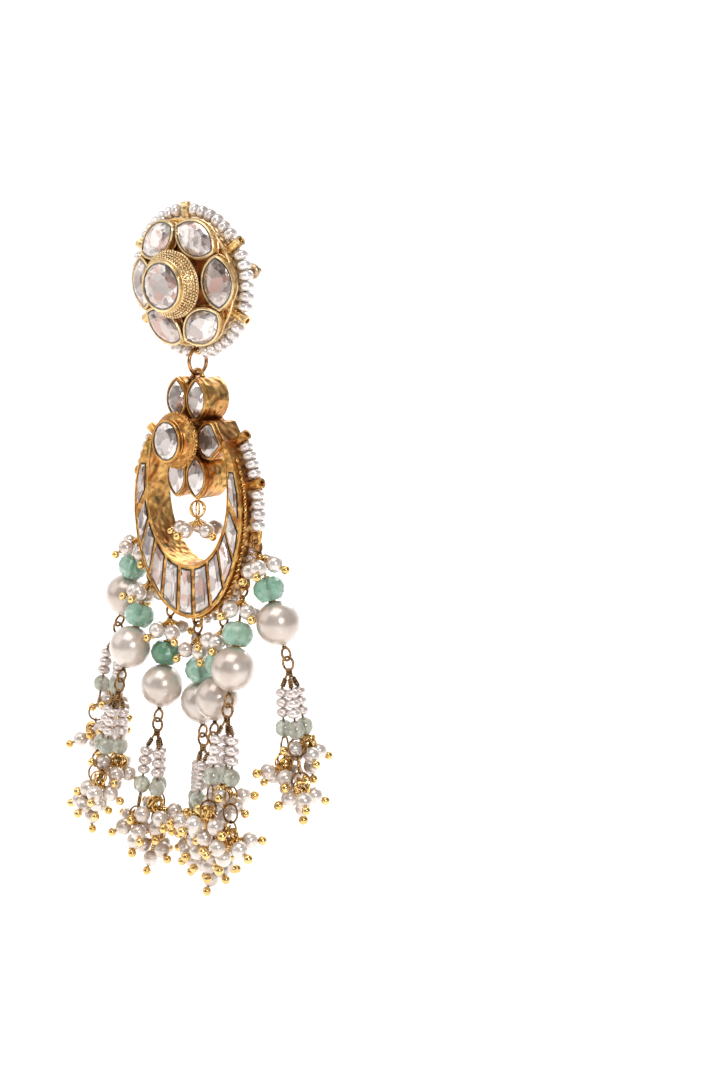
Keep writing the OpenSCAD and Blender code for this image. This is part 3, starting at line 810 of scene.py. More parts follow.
def show(name: str, data: bpy.types.ID) -> bpy.types.Object:
    """Makes an object and puts it in the scene.

    Args:
        name: The object's name.
        data: Its mesh, lamp or camera.

    Returns:
        The object.
    """
    made = bpy.data.objects.new(name, data)
    bpy.context.scene.collection.objects.link(made)
    return made


def dress(
    piece: bpy.types.Object, body: Body, replaces: Sequence[str] = ()
) -> bpy.types.Object:
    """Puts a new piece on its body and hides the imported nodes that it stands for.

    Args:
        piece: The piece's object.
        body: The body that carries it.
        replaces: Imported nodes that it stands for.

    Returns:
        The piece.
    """
    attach(piece, body.value)
    if replaces:
        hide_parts(*replaces)
    piece.data.calc_loop_triangles()
    LOG.info("%s: %d triangles on %s", piece.name, len(piece.data.loop_triangles), body.value)
    return piece


class Winding(NamedTuple):
    """Wound wire: the radius to its middle, the wire's own radius, the length and the turns."""

    radius: float
    wire: float
    length: float
    turns: float


class Sketch:
    """Gathers closed shapes in millimetres and makes one mesh of them."""

    ROPE_STEPS = 7
    ROPE_SPREAD = 0.5
    ROPE_STRAND = 0.58
    COIL_STEPS = 9

    def __init__(self) -> None:
        """Starts empty."""
        self.points: list[Vector] = []
        self.faces: list[tuple[int, ...]] = []
        # Faces in painted shade: the dark line at a cut stone's girdle.
        self.dark: set[int] = set()

    def point(self, at: Vector) -> int:
        """Adds a point and gives its number."""
        self.points.append(Vector(at))
        return len(self.points) - 1

    def skin(self, rings: list[list[int]], closed: bool) -> None:
        """Joins rings of points with four-sided faces.

        Args:
            rings: The rings, each with as many points.
            closed: True if the last one joins the first one.
        """
        pairs = list(zip(rings, rings[1:])) + ([(rings[-1], rings[0])] if closed else [])
        for low, high in pairs:
            for k in range(len(low)):
                n = (k + 1) % len(low)
                self.faces.append((low[k], low[n], high[n], high[k]))

    def tube(self, path: Sequence[Vector], radius: float, sides: int = 8, closed: bool = False) -> None:
        """Sweeps a round section along a path.

        Args:
            path: The middle line's points.
            radius: The section's radius.
            sides: Points round the section.
            closed: True for a ring.
        """
        last = len(path) - 1
        angles = [TURN * k / sides for k in range(sides)]
        side: Vector | None = None
        rings = []
        for i, at in enumerate(path):
            before = path[i - 1] if i or closed else path[0]
            after = path[(i + 1) % len(path)] if i < last or closed else path[last]
            way = (after - before).normalized()
            if side is None:
                side = way.orthogonal().normalized()
            else:
                side = (side - way * side.dot(way)).normalized()
            up = way.cross(side)
            rings.append([
                self.point(at + radius * (math.cos(a) * side + math.sin(a) * up)) for a in angles
            ])
        self.skin(rings, closed)
        if not closed:
            self.faces += [tuple(rings[0]), tuple(rings[-1])]

    def rod(self, start: Vector, end: Vector, radius: float, sides: int = 8) -> None:
        """A straight wire between two points."""
        self.tube([start, end], radius, sides)

    def lathe(self, place: Matrix, profile: Outline, sides: int) -> None:
        """Turns a profile about Z.

        Args:
            place: Where it stands.
            profile: Radius and height of each point, with the first and last ones on the axis.
            sides: Points round the axis.
        """
        rings = [
            [self.point(place @ polar(r, TURN * k / sides, z)) for k in range(sides)]
            for r, z in profile[1:-1]
        ]
        self.skin(rings, False)
        for ring, (_, z) in ((rings[0], profile[0]), (rings[-1], profile[-1])):
            pole = self.point(place @ Vector((0, 0, z)))
            self.faces += [(ring[k], ring[(k + 1) % sides], pole) for k in range(sides)]

    def ball(self, at: Vector, radius: float, sides: int = 14) -> None:
        """A round ball."""
        self.lathe(Matrix.Translation(at), round_profile(radius, radius, sides // 2), sides)

    def coil(self, place: Matrix, winding: Winding) -> None:
        """Winds wire round Z, from the place's origin up.

        Args:
            place: Where the coil starts, with Z along its axis.
            winding: Its sizes.
        """
        radius, wire, length, turns = winding
        steps = max(6, round(turns * self.COIL_STEPS))
        self.tube([
            place @ polar(radius, TURN * turns * i / steps, length * i / steps) for i in range(steps + 1)
        ], wire, 5)

    def ring(self, place: Matrix, radius: float, wire: float, steps: int = 28, sides: int = 8) -> None:
        """A closed ring of wire in the place's plane of X and Y."""
        path = [place @ polar(radius, TURN * i / steps) for i in range(steps)]
        self.tube(path, wire, sides, closed=True)

    def hoop(self, place: Matrix, outline: Outline, z: float, wire: float, sides: int = 6) -> None:
        """A closed wire along an outline, at a height of the place."""
        self.tube(raised(place, outline, z), wire, sides, closed=True)

    def rope(self, path: Sequence[Vector], radius: float, pitch: float, closed: bool) -> None:
        """Two strands twisted along a path.

        Args:
            path: The middle line, with even steps.
            radius: The rope's outer radius.
            pitch: Length of a full twist.
            closed: True for a ring.
        """
        length = sum((b - a).length for a, b in zip(path, path[1:]))
        turns = max(1, round(length / pitch))
        fine = resample(path, turns * self.ROPE_STEPS + (0 if closed else 1), closed)
        for strand in (0.0, 0.5):
            line = []
            for i, at in enumerate(fine):
                ahead = fine[(i + 1) % len(fine)] if closed or i < len(fine) - 1 else at
                behind = fine[i - 1] if closed or i else at
                way = (ahead - behind).normalized()
                side = way.cross(Vector((0, 1, 0))).normalized()
                up = way.cross(side)
                angle = TURN * (i / self.ROPE_STEPS + strand)
                spread = self.ROPE_SPREAD * radius
                line.append(at + spread * (math.cos(angle) * side + math.sin(angle) * up))
            self.tube(line, self.ROPE_STRAND * radius, 5, closed)

    def mesh(self, name: str, smooth: bool) -> bpy.types.Mesh:
        """Makes the mesh in metres, with its normals out and a chance shade per face, nought in painted
        shade.

        Args:
            name: The mesh's name.
            smooth: True for smooth shading, with sharp edges kept.

        Returns:
            The mesh.
        """
        mesh = bpy.data.meshes.new(name)
        mesh.from_pydata([at * MM for at in self.points], [], self.faces)
        chance = random.Random(len(self.faces))
        # Faces in painted shade get nought; the others pick the stones' painted reflections and shade.
        shades = [0.0 if i in self.dark else chance.uniform(0.1, 1.0) for i in range(len(self.faces))]
        mesh.attributes.new(FACET, "FLOAT", "FACE").data.foreach_set("value", shades)
        work = bmesh.new()
        work.from_mesh(mesh)
        bmesh.ops.recalc_face_normals(work, faces=work.faces)
        for face in work.faces:
            face.smooth = smooth
        work.to_mesh(mesh)
        work.free()
        if smooth:
            mesh.set_sharp_from_angle(angle=math.radians(SHARP_ANGLE))
        return mesh

    def piece(
        self, name: str, body: Body, finish: Finish, replaces: Sequence[str] = (), smooth: bool = True
    ) -> bpy.types.Object:
        """Makes the piece, gives it its finish and puts it on its body.

        Args:
            name: The piece's name.
            body: The body that carries it.
            finish: Its finish.
            replaces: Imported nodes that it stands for.
            smooth: False for cut stones, whose facets stay flat.

        Returns:
            The piece.
        """
        made = show(name, self.mesh(name, smooth))
        made.data.materials.append(finish.material)
        return dress(made, body, replaces)


class BeadShape(Enum):
    """Unit shapes that are laid on many spots: sides, rows and fullness of the shoulder."""

    PEARL = (24, 14, 2.0)
    SMALL = (14, 8, 2.0)
    SEED = (16, 12, 2.25)
    SQUASHED = (20, 14, 2.4)
    GRAIN = (8, 5, 2.0)
    TIP = (12, 7, 2.0)


@dataclass(frozen=True)
class Spot:
    """Where one bead lies.

    Attributes:
        at: Its middle.
        aim: The way of its hole.
        across: Half its size across the hole.
        half: Half its size along the hole.
    """

    at: Vector
    aim: Vector
    across: float
    half: float


def grain_ring(
    place: Matrix, r: float, z: float, size: float, shift: float, aim: Vector | None = None
) -> list[Spot]:
    """Spaces grains round Z.

    Args:
        place: The frame of the ring.
        r: The ring's radius.
        z: Its height.
        size: The grains' radius.
        shift: The first grain's place, as a share of a step.
        aim: Their way; outwards if none is given.

    Returns:
        The grains' spots.
    """
    count = round(TURN * r / (GRAIN_PITCH * size))
    spots = []
    for i in range(count):
        out = polar(1, TURN * (i + shift) / count)
        at = place @ (r * out + Vector((0, 0, z)))
        spots.append(Spot(at, heading(place, out) if aim is None else aim, size, size))
    return spots


class BeadLayer:
    """Lays one bead shape on many spots with Geometry Nodes."""

    INPUTS = (
        ("Bead", "NodeSocketObject"), ("Finish", "NodeSocketMaterial"), ("Size", "NodeSocketFloat"),
        ("Uneven", "NodeSocketFloat"), ("Seed", "NodeSocketInt"),
    )
    # Sockets of the chance value's node, which has one set of them for each kind of value
    LEAST, MOST, SEED, CHANCE = 2, 3, 8, 1

    def __init__(self) -> None:
        """Builds the tree that every layer shares."""
        tree = bpy.data.node_groups.new("bead_layer", "GeometryNodeTree")
        face = tree.interface
        for side in ("INPUT", "OUTPUT"):
            face.new_socket("Geometry", in_out=side, socket_type="NodeSocketGeometry")
        self.keys = {
            name: face.new_socket(name, in_out="INPUT", socket_type=kind).identifier
            for name, kind in self.INPUTS
        }
        pen = NodePen(tree)
        given = pen.add("NodeGroupInput").outputs
        aim, size = (
            pen.add("GeometryNodeInputNamedAttribute", {"Name": name}, data_type="FLOAT_VECTOR")
            for name in ("aim", "size")
        )
        turn = pen.add("FunctionNodeAlignRotationToVector", {"Vector": aim}, axis="Z")
        least = pen.math("SUBTRACT", 1.0, given["Uneven"])
        most = pen.math("ADD", 1.0, given["Uneven"])
        limits = {self.LEAST: least, self.MOST: most, self.SEED: given["Seed"]}
        chance = pen.add("FunctionNodeRandomValue", limits, data_type="FLOAT")
        factor = pen.math("MULTIPLY", chance.outputs[self.CHANCE], given["Size"])
        scale = pen.add("ShaderNodeVectorMath", {0: size, "Scale": factor}, operation="SCALE")
        bead = pen.add("GeometryNodeObjectInfo", {0: given["Bead"]}).outputs["Geometry"]
        laid = pen.add("GeometryNodeInstanceOnPoints", {
            "Points": given["Geometry"], "Instance": bead, "Rotation": turn, "Scale": scale,
        })
        real = pen.add("GeometryNodeRealizeInstances", {0: laid})
        skin = pen.add("GeometryNodeSetMaterial", {"Geometry": real, "Material": given["Finish"]})
        pen.put(pen.add("NodeGroupOutput").inputs[0], skin)
        self.tree = tree

    def lay(
        self, name: str, spots: Sequence[Spot], shape: BeadShape, body: Body, finish: Finish,
        replaces: Sequence[str] = (), uneven: float = 0.0, seed: int = 1,
    ) -> bpy.types.Object:
        """Lays the beads and makes them one plain piece.

        Args:
            name: The piece's name.
            spots: Where the beads lie.
            shape: The bead's form.
            body: The body that carries them.
            finish: Their finish.
            replaces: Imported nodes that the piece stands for.
            uneven: How much the sizes vary.
            seed: Seed of that variation.

        Returns:
            The piece.
        """
        sides, rows, square = shape.value
        unit = Sketch()
        unit.lathe(Matrix.Scale(1 / MM, 4), round_profile(1, 1, rows, square), sides)
        bead = show(name + "_unit", unit.mesh(name + "_unit", True))
        points = bpy.data.meshes.new(name)
        points.from_pydata([spot.at * MM for spot in spots], [], [])
        for label, rows_of in (
            ("aim", [spot.aim for spot in spots]),
            ("size", [Vector((spot.across, spot.across, spot.half)) * MM for spot in spots]),
        ):
            values = points.attributes.new(label, "FLOAT_VECTOR", "POINT")
            values.data.foreach_set("vector", [part for row in rows_of for part in row])
        piece = show(name, points)
        modifier = piece.modifiers.new("beads", "NODES")
        modifier.node_group = self.tree
        for label, value in (
            ("Bead", bead), ("Finish", finish.material), ("Size", 1.0), ("Uneven", uneven),
            ("Seed", seed),
        ):
            modifier[self.keys[label]] = value
        graph = bpy.context.evaluated_depsgraph_get()
        made = bpy.data.meshes.new_from_object(piece.evaluated_get(graph), depsgraph=graph)
        piece.modifiers.clear()
        piece.data = made
        bpy.data.objects.remove(bead)
        return dress(piece, body, replaces)


@dataclass(frozen=True)
class CutStone:
    """A stone with a table and two rows of triangular facets.

    Attributes:
        seat: Depth below the girdle.
        crown: Height of the table over the girdle.
        table: The table's share of the outline.
        foot: The foot's share.
        girdle: The girdle's upper edge's share.
        girdle_h: Height of that edge.
        star: The middle row's share.
        star_h: Its share of the crown's height.
    """

    seat: float = 0.85
    crown: float = 0.6
    table: float = 0.58
    foot: float = 0.86
    girdle: float = 0.94
    girdle_h: float = 0.05
    star: float = 0.8
    star_h: float = 0.62

    def cut(self, sketch: Sketch, place: Matrix, outline: Outline) -> None:
        """Adds the stone's faces.

        Args:
            sketch: Takes them.
            place: The stone's frame, with its girdle in the plane of X and Y.
            outline: The girdle's outline.
        """
        n = len(outline)
        middle = Vector((sum(p[0] for p in outline) / n, sum(p[1] for p in outline) / n, 0))
        flat = [Vector((p[0], p[1], 0)) for p in outline]
        halves = [(a + b) / 2 for a, b in zip(flat, flat[1:] + flat[:1])]

        def row(points: Sequence[Vector], share: float, height: float) -> list[int]:
            """One row of points drawn towards the middle."""
            up = Vector((0, 0, height))
            return [sketch.point(place @ (middle + share * (p - middle) + up)) for p in points]

        foot = row(flat, self.foot, -self.seat)
        edge = row(flat, 1.0, 0)
        girdle = row(flat, self.girdle, self.girdle_h)
        star = row(halves, self.star, self.star_h * self.crown)
        table = row(flat, self.table, self.crown)
        # The pavilion's wall and the girdle's band take painted shade, the dark line between stone and
        # bezel.
        start = len(sketch.faces)
        sketch.skin([foot, edge, girdle], False)
        sketch.dark.update(range(start, len(sketch.faces)))
        sketch.faces += [tuple(foot), tuple(table)]
        for i in range(n):
            k = (i + 1) % n
            sketch.faces += [
                (girdle[i], girdle[k], star[i]), (star[i], girdle[k], star[k]),
                (star[i], star[k], table[k]), (table[i], star[i], table[k]),
            ]


class Lip(NamedTuple):
    """A thin lip round a stone: how far it stands out, its height and its wire's radius."""

    grow: float
    z: float
    wire: float


class Rim(NamedTuple):
    """A round rim: its radius, its height and its wire's radius."""

    r: float
    z: float
    wire: float


class GrainRow(NamedTuple):
    """A row of grains: the ring's radius, its height and the grains' radius."""

    r: float
    z: float
    size: float


# The stud


@dataclass
class Rosette:
    """The leaning flower stud.

    Heights are measured over the stud's back, lengths in millimetres and angles in degrees.
    """

    layer: BeadLayer
    petals: int = 6
    smoky_petals: tuple[int, ...] = (0, 4)  # counted from the right
    petal_half_len: float = 3.95
    petal_half_w: float = 2.6
    petal_ring_r: float = 8.0
    petal_plane: float = 4.4
    petal_tilt: float = 12.0
    girdle: float = 0.05  # over a stone's collet
    petal_lips: tuple[Lip, ...] = (Lip(0.13, 0.02, 0.17), Lip(0.34, -1.05, 0.16))
    centre_r: float = 3.7
    drum_r: float = 4.13
    drum_rim_z: float = 2.15  # over the collar's foot
    collar_r: float = 5.18
    collar_z: float = 5.8
    collar_h: float = 0.7
    slope_h: float = 1.4
    bezel_h: float = 0.7
    slope_grains: tuple[float, ...] = (0.08, 0.36, 0.64, 0.9)  # shares of the slope
    rim_in: float = 0.05  # from the frame's edge, as the plate's
    plate_in: float = 0.7
    pearl_r: float = 1.15
    pearls_in_group: int = 6
    lug_space: float = 2.2
    eye_half: float = 0.72
    post_len: float = 13.0
    post_x: float = 2.0
    nut_profile: tuple[tuple[float, float], ...] = (  # radius and distance from the back
        (0, 9), (0.75, 9), (0.98, 9.2), (0.98, 10.3), (0.72, 10.6), (0.72, 10.9), (1.2, 11.15),
        (1.3, 11.5), (1.12, 11.9), (0, 11.9),
    )

    @property
    def centre_top(self) -> float:
        """Height of the centre stone's bezel."""
        return self.collar_z + self.collar_h + self.slope_h + self.bezel_h

    @property
    def back(self) -> Vector:
        """The way of the post, out of the stud's back."""
        lean = math.radians(PLACES.lean)
        return Vector((0, math.cos(lean), math.sin(lean)))

    def petal(self, i: int) -> Matrix:
        """The frame of one petal's collet.

        Args:
            i: The petal's number.

        Returns:
            Its frame, with Z out of the stone's table.
        """
        out = Matrix.Translation((self.petal_ring_r, 0, self.petal_plane))
        tilt = spun(math.radians(self.petal_tilt), "Y")
        return PLACES.rosette @ spun(TURN * i / self.petals, "Z") @ out @ tilt

    def stones(self) -> None:
        """Cuts the petal stones and the centre stone."""
        cut = CutStone()
        oval = pointed_oval(self.petal_half_len, self.petal_half_w, 8)
        clear = [i for i in range(self.petals) if i not in self.smoky_petals]
        for name, finish, petals in (
            ("clear_petals", CLEAR_STONE, clear), ("smoky_petals", SMOKY_STONE, self.smoky_petals)
        ):
            stones = Sketch()
            for i in petals:
                cut.cut(stones, self.petal(i) @ lift(self.girdle), oval)
            nodes = [f"petal_stone_{i + 1}" for i in petals]
            stones.piece(name, Body.ROSETTE, finish, nodes, smooth=False)
        middle = Sketch()
        top = PLACES.rosette @ lift(self.centre_top + self.girdle)
        cut.cut(middle, top, ellipse(self.centre_r, self.centre_r, 16))
        nodes = ["rosette_centre_stone"]
        middle.piece("rosette_middle_stone", Body.ROSETTE, CLEAR_STONE, nodes, smooth=False)

    def bezels(self) -> None:
        """Runs a thin lip round each stone, and rims round the drum and the frame."""
        lips = Sketch()
        for i in range(self.petals):
            for lip in self.petal_lips:
                half_len, half_w = self.petal_half_len + 1.4 * lip.grow, self.petal_half_w + lip.grow
                lips.hoop(self.petal(i), pointed_oval(half_len, half_w, 14), lip.z, lip.wire)
        for rim in (
            Rim(self.centre_r + 0.2, self.centre_top, 0.2),
            Rim(self.drum_r, self.collar_z + self.drum_rim_z, 0.16),
            Rim(self.collar_r, self.collar_z, 0.17),
        ):
            lips.hoop(PLACES.rosette, ellipse(rim.r, rim.r, 56), rim.z, rim.wire, 7)
        edge = PLACES.base_r - self.rim_in
        for rim in (Rim(edge, PLACES.base_h, 0.2), Rim(edge, 0.12, 0.16)):
            lips.hoop(PLACES.rosette, ellipse(rim.r, rim.r, 72), rim.z, rim.wire)
        lips.piece("rosette_lips", Body.ROSETTE, GRAIN_GILT)

    def plate(self) -> None:
        """Lays the rust brown plate that shows between the petals."""
        plate = Sketch()
        r, low, high = PLACES.base_r - self.plate_in, PLACES.base_h - 0.1, PLACES.base_h + 0.26
        plate.lathe(PLACES.rosette, [(0, low), (r, low), (r, high), (0, high)], 64)
        plate.piece("rosette_plate", Body.ROSETTE, RUST_PLATE)

    def grains(self) -> None:
        """Sets rows of grains over the collar."""
        rows = [GrainRow(self.collar_r + 0.05, self.collar_z + self.collar_h / 2, 0.25)]
        for share in self.slope_grains:
            r = self.collar_r + (self.drum_r - self.collar_r) * share
            z = self.collar_z + self.collar_h + self.slope_h * share
            rows.append(GrainRow(r + 0.04, z + 0.02, 0.24))
        spots = []
        for k, row in enumerate(rows):
            spots += grain_ring(PLACES.rosette, row.r, row.z, row.size, 0.5 * (k % 2))
        self.layer.lay(
            "rosette_grains", spots, BeadShape.GRAIN, Body.ROSETTE, GRAIN_GILT, uneven=0.12, seed=3
        )

    def pearls(self) -> None:
        """Strings the squashed pearls round the edge, in groups between the lugs."""
        r = PLACES.pearl_ring_r
        lug = self.lug_space / r
        step = (TURN / self.petals - lug) / self.pearls_in_group
        half = r * step / 2 - BEAD_GAP
        spots = []
        for i in range(self.petals):
            for k in range(self.pearls_in_group):
                a = TURN * i / self.petals - math.pi / 6 + lug / 2 + step * (k + 0.5)
                at = PLACES.rosette @ polar(r, a, PLACES.pearl_plane)
                aim = heading(PLACES.rosette, Vector((-math.sin(a), math.cos(a), 0)))
                spots.append(Spot(at, aim, self.pearl_r, half))
        self.layer.lay(
            "rim_pearls", spots, BeadShape.SQUASHED, Body.ROSETTE, RING_PEARL, ["rosette_pearls"],
            uneven=0.04, seed=5,
        )

    def eye_collars(self) -> None:
        """Winds a collar of wire on each of the eye's legs."""
        collars = Sketch()
        down = heading(PLACES.rosette, Vector((0, -1, 0)))
        for side in (-1, 1):
            foot = Vector((side * self.eye_half, -(PLACES.base_r + 0.05), PLACES.pearl_plane))
            at = PLACES.rosette @ foot + 0.1 * down
            collars.ring(along(at, down), 0.42, 0.13, 16, 6)
        collars.piece("eye_collars", Body.ROSETTE, GRAIN_GILT)

    def fastening(self) -> None:
        """Rounds the post's end and turns the push-on nut."""
        foot = Vector((self.post_x, 0, 0))
        tip, nut = Sketch(), Sketch()
        tip.ball(foot + (self.post_len - 0.15) * self.back, 0.52)
        tip.piece("post_tip", Body.ROSETTE, POST_GOLD)
        nut.lathe(along(foot, self.back), self.nut_profile, 28)
        nut.piece("push_nut", Body.ROSETTE, NUT_METAL, ["ear_nut"])

    def build(self) -> None:
        """Makes every piece of the stud."""
        self.stones()
        self.bezels()
        self.plate()
        self.grains()
        self.pearls()
        self.eye_collars()
        self.fastening()


@dataclass
class Link:
    """The jump ring between the stud and the pendant."""

    def build(self) -> None:
        """Bends the ring of wire."""
        ring = Sketch()
        place = Matrix.Translation(PLACES.ring) @ spun(QUARTER, "Y")
        ring.ring(place, PLACES.ring_r, PLACES.ring_wire, 48, 10)
        ring.piece("link_ring", Body.LINK, LINK_WIRE, ["jump_ring"])


# The pendant


@dataclass(frozen=True)
class Oval:
    """A closed curve of two half ellipses, followed by its angle from the foot in degrees.

    Attributes:
        half_w: Half its width.
        low: Reach of its lower half.
        top: Reach of its upper half.
        level: Height at which the halves meet.
    """

    half_w: float
    low: float
    top: float
    level: float

    def reach(self, t: float) -> float:
        """Reach of the half that an angle lies in."""
        return self.low if abs(t) < 90 else self.top

    def at(self, t: float, grow: float) -> Vector:
        """A point of the curve, grown outwards."""
        b, r = self.reach(t), math.radians(t)
        return Vector(((self.half_w + grow) * math.sin(r), self.level - (b + grow) * math.cos(r), 0))

    def normal(self, t: float) -> Vector:
        """The outward normal."""
        b, r = self.reach(t), math.radians(t)
        return Vector((math.sin(r) / self.half_w, -math.cos(r) / b, 0)).normalized()

    def end(self, y: float, grow: float) -> float:
        """The angle at which the grown curve's upper half reaches a height."""
        return 90 + math.degrees(math.asin((y - self.level) / (self.top + grow)))

    def speed(self, t: float, grow: float) -> float:
        """Length along the grown curve for one degree."""
        return (self.at(t + 0.05, grow) - self.at(t - 0.05, grow)).length / 0.1

    def stretch(self, end: float, steps: int, grow: float, z: float) -> list[Vector]:
        """Points of the grown curve in the pendant's frame.

        Args:
            end: The angle at which they start and stop, on either side.
            steps: Number of steps.
            grow: How far the curve is grown.
            z: Height of the points.

        Returns:
            The points, from the left to the right.
        """
        up = Vector((0, 0, z))
        return [
            PLACES.pendant @ (self.at(-end + 2 * end * i / steps, grow) + up) for i in range(steps + 1)
        ]


@dataclass(frozen=True)
class Crescent:
    """Curves and cells of the crescent in the pendant's face frame.

    Attributes:
        outer: Its outer edge.
        inner: The edge of its opening.
        rim: Width of its rims.
        bar: Width of the bars between the stones.
        bars: Angles of the bars.
        horn_angle: The last bar's angle, at the horns.
        horn_stone_y: Height at which the last stone ends.
        cell_gap: Gap between a stone and its cell.
    """

    outer: Oval = Oval(half_w=11.3, low=17.4, top=15.6, level=-21.7)
    inner: Oval = Oval(half_w=8.56, low=11.7, top=17.0, level=-19.3)
    rim: float = 0.45
    bar: float = 0.6
    bars: tuple[int, ...] = (-82, -65, -47, -29, -9, 9, 29, 47, 65, 82)
    horn_angle: float = 86.0
    horn_stone_y: float = -15.1
    cell_gap: float = 0.15

    def cells(self) -> list[list[tuple[float, float]]]:
        """Draws the stones.

        Returns:
            Their outlines, each with three points on either rim.
        """
        inset, half = self.rim + self.cell_gap, self.bar / 2 + self.cell_gap
        spans = [(a, b, b) for a, b in zip(self.bars, self.bars[1:])]
        outer_end = self.outer.end(self.horn_stone_y, -inset)
        spans.append((self.horn_angle, outer_end, self.inner.end(self.horn_stone_y, inset)))
        out = []
        for start, outer_end, inner_end in spans:
            line = []
            for curve, end, grow, step in (
                (self.outer, outer_end, -inset, 1), (self.inner, inner_end, inset, -1)
            ):
                a = start + half / curve.speed(start, grow)
                b = end - half / curve.speed(end, grow)
                line += [curve.at(t, grow) for t in (a, (a + b) / 2, b)[::step]]
            out.append([(p.x, p.y) for p in line])
        out.append([(-x, y) for x, y in reversed(out[-1])])
        return out


CRESCENT = Crescent()


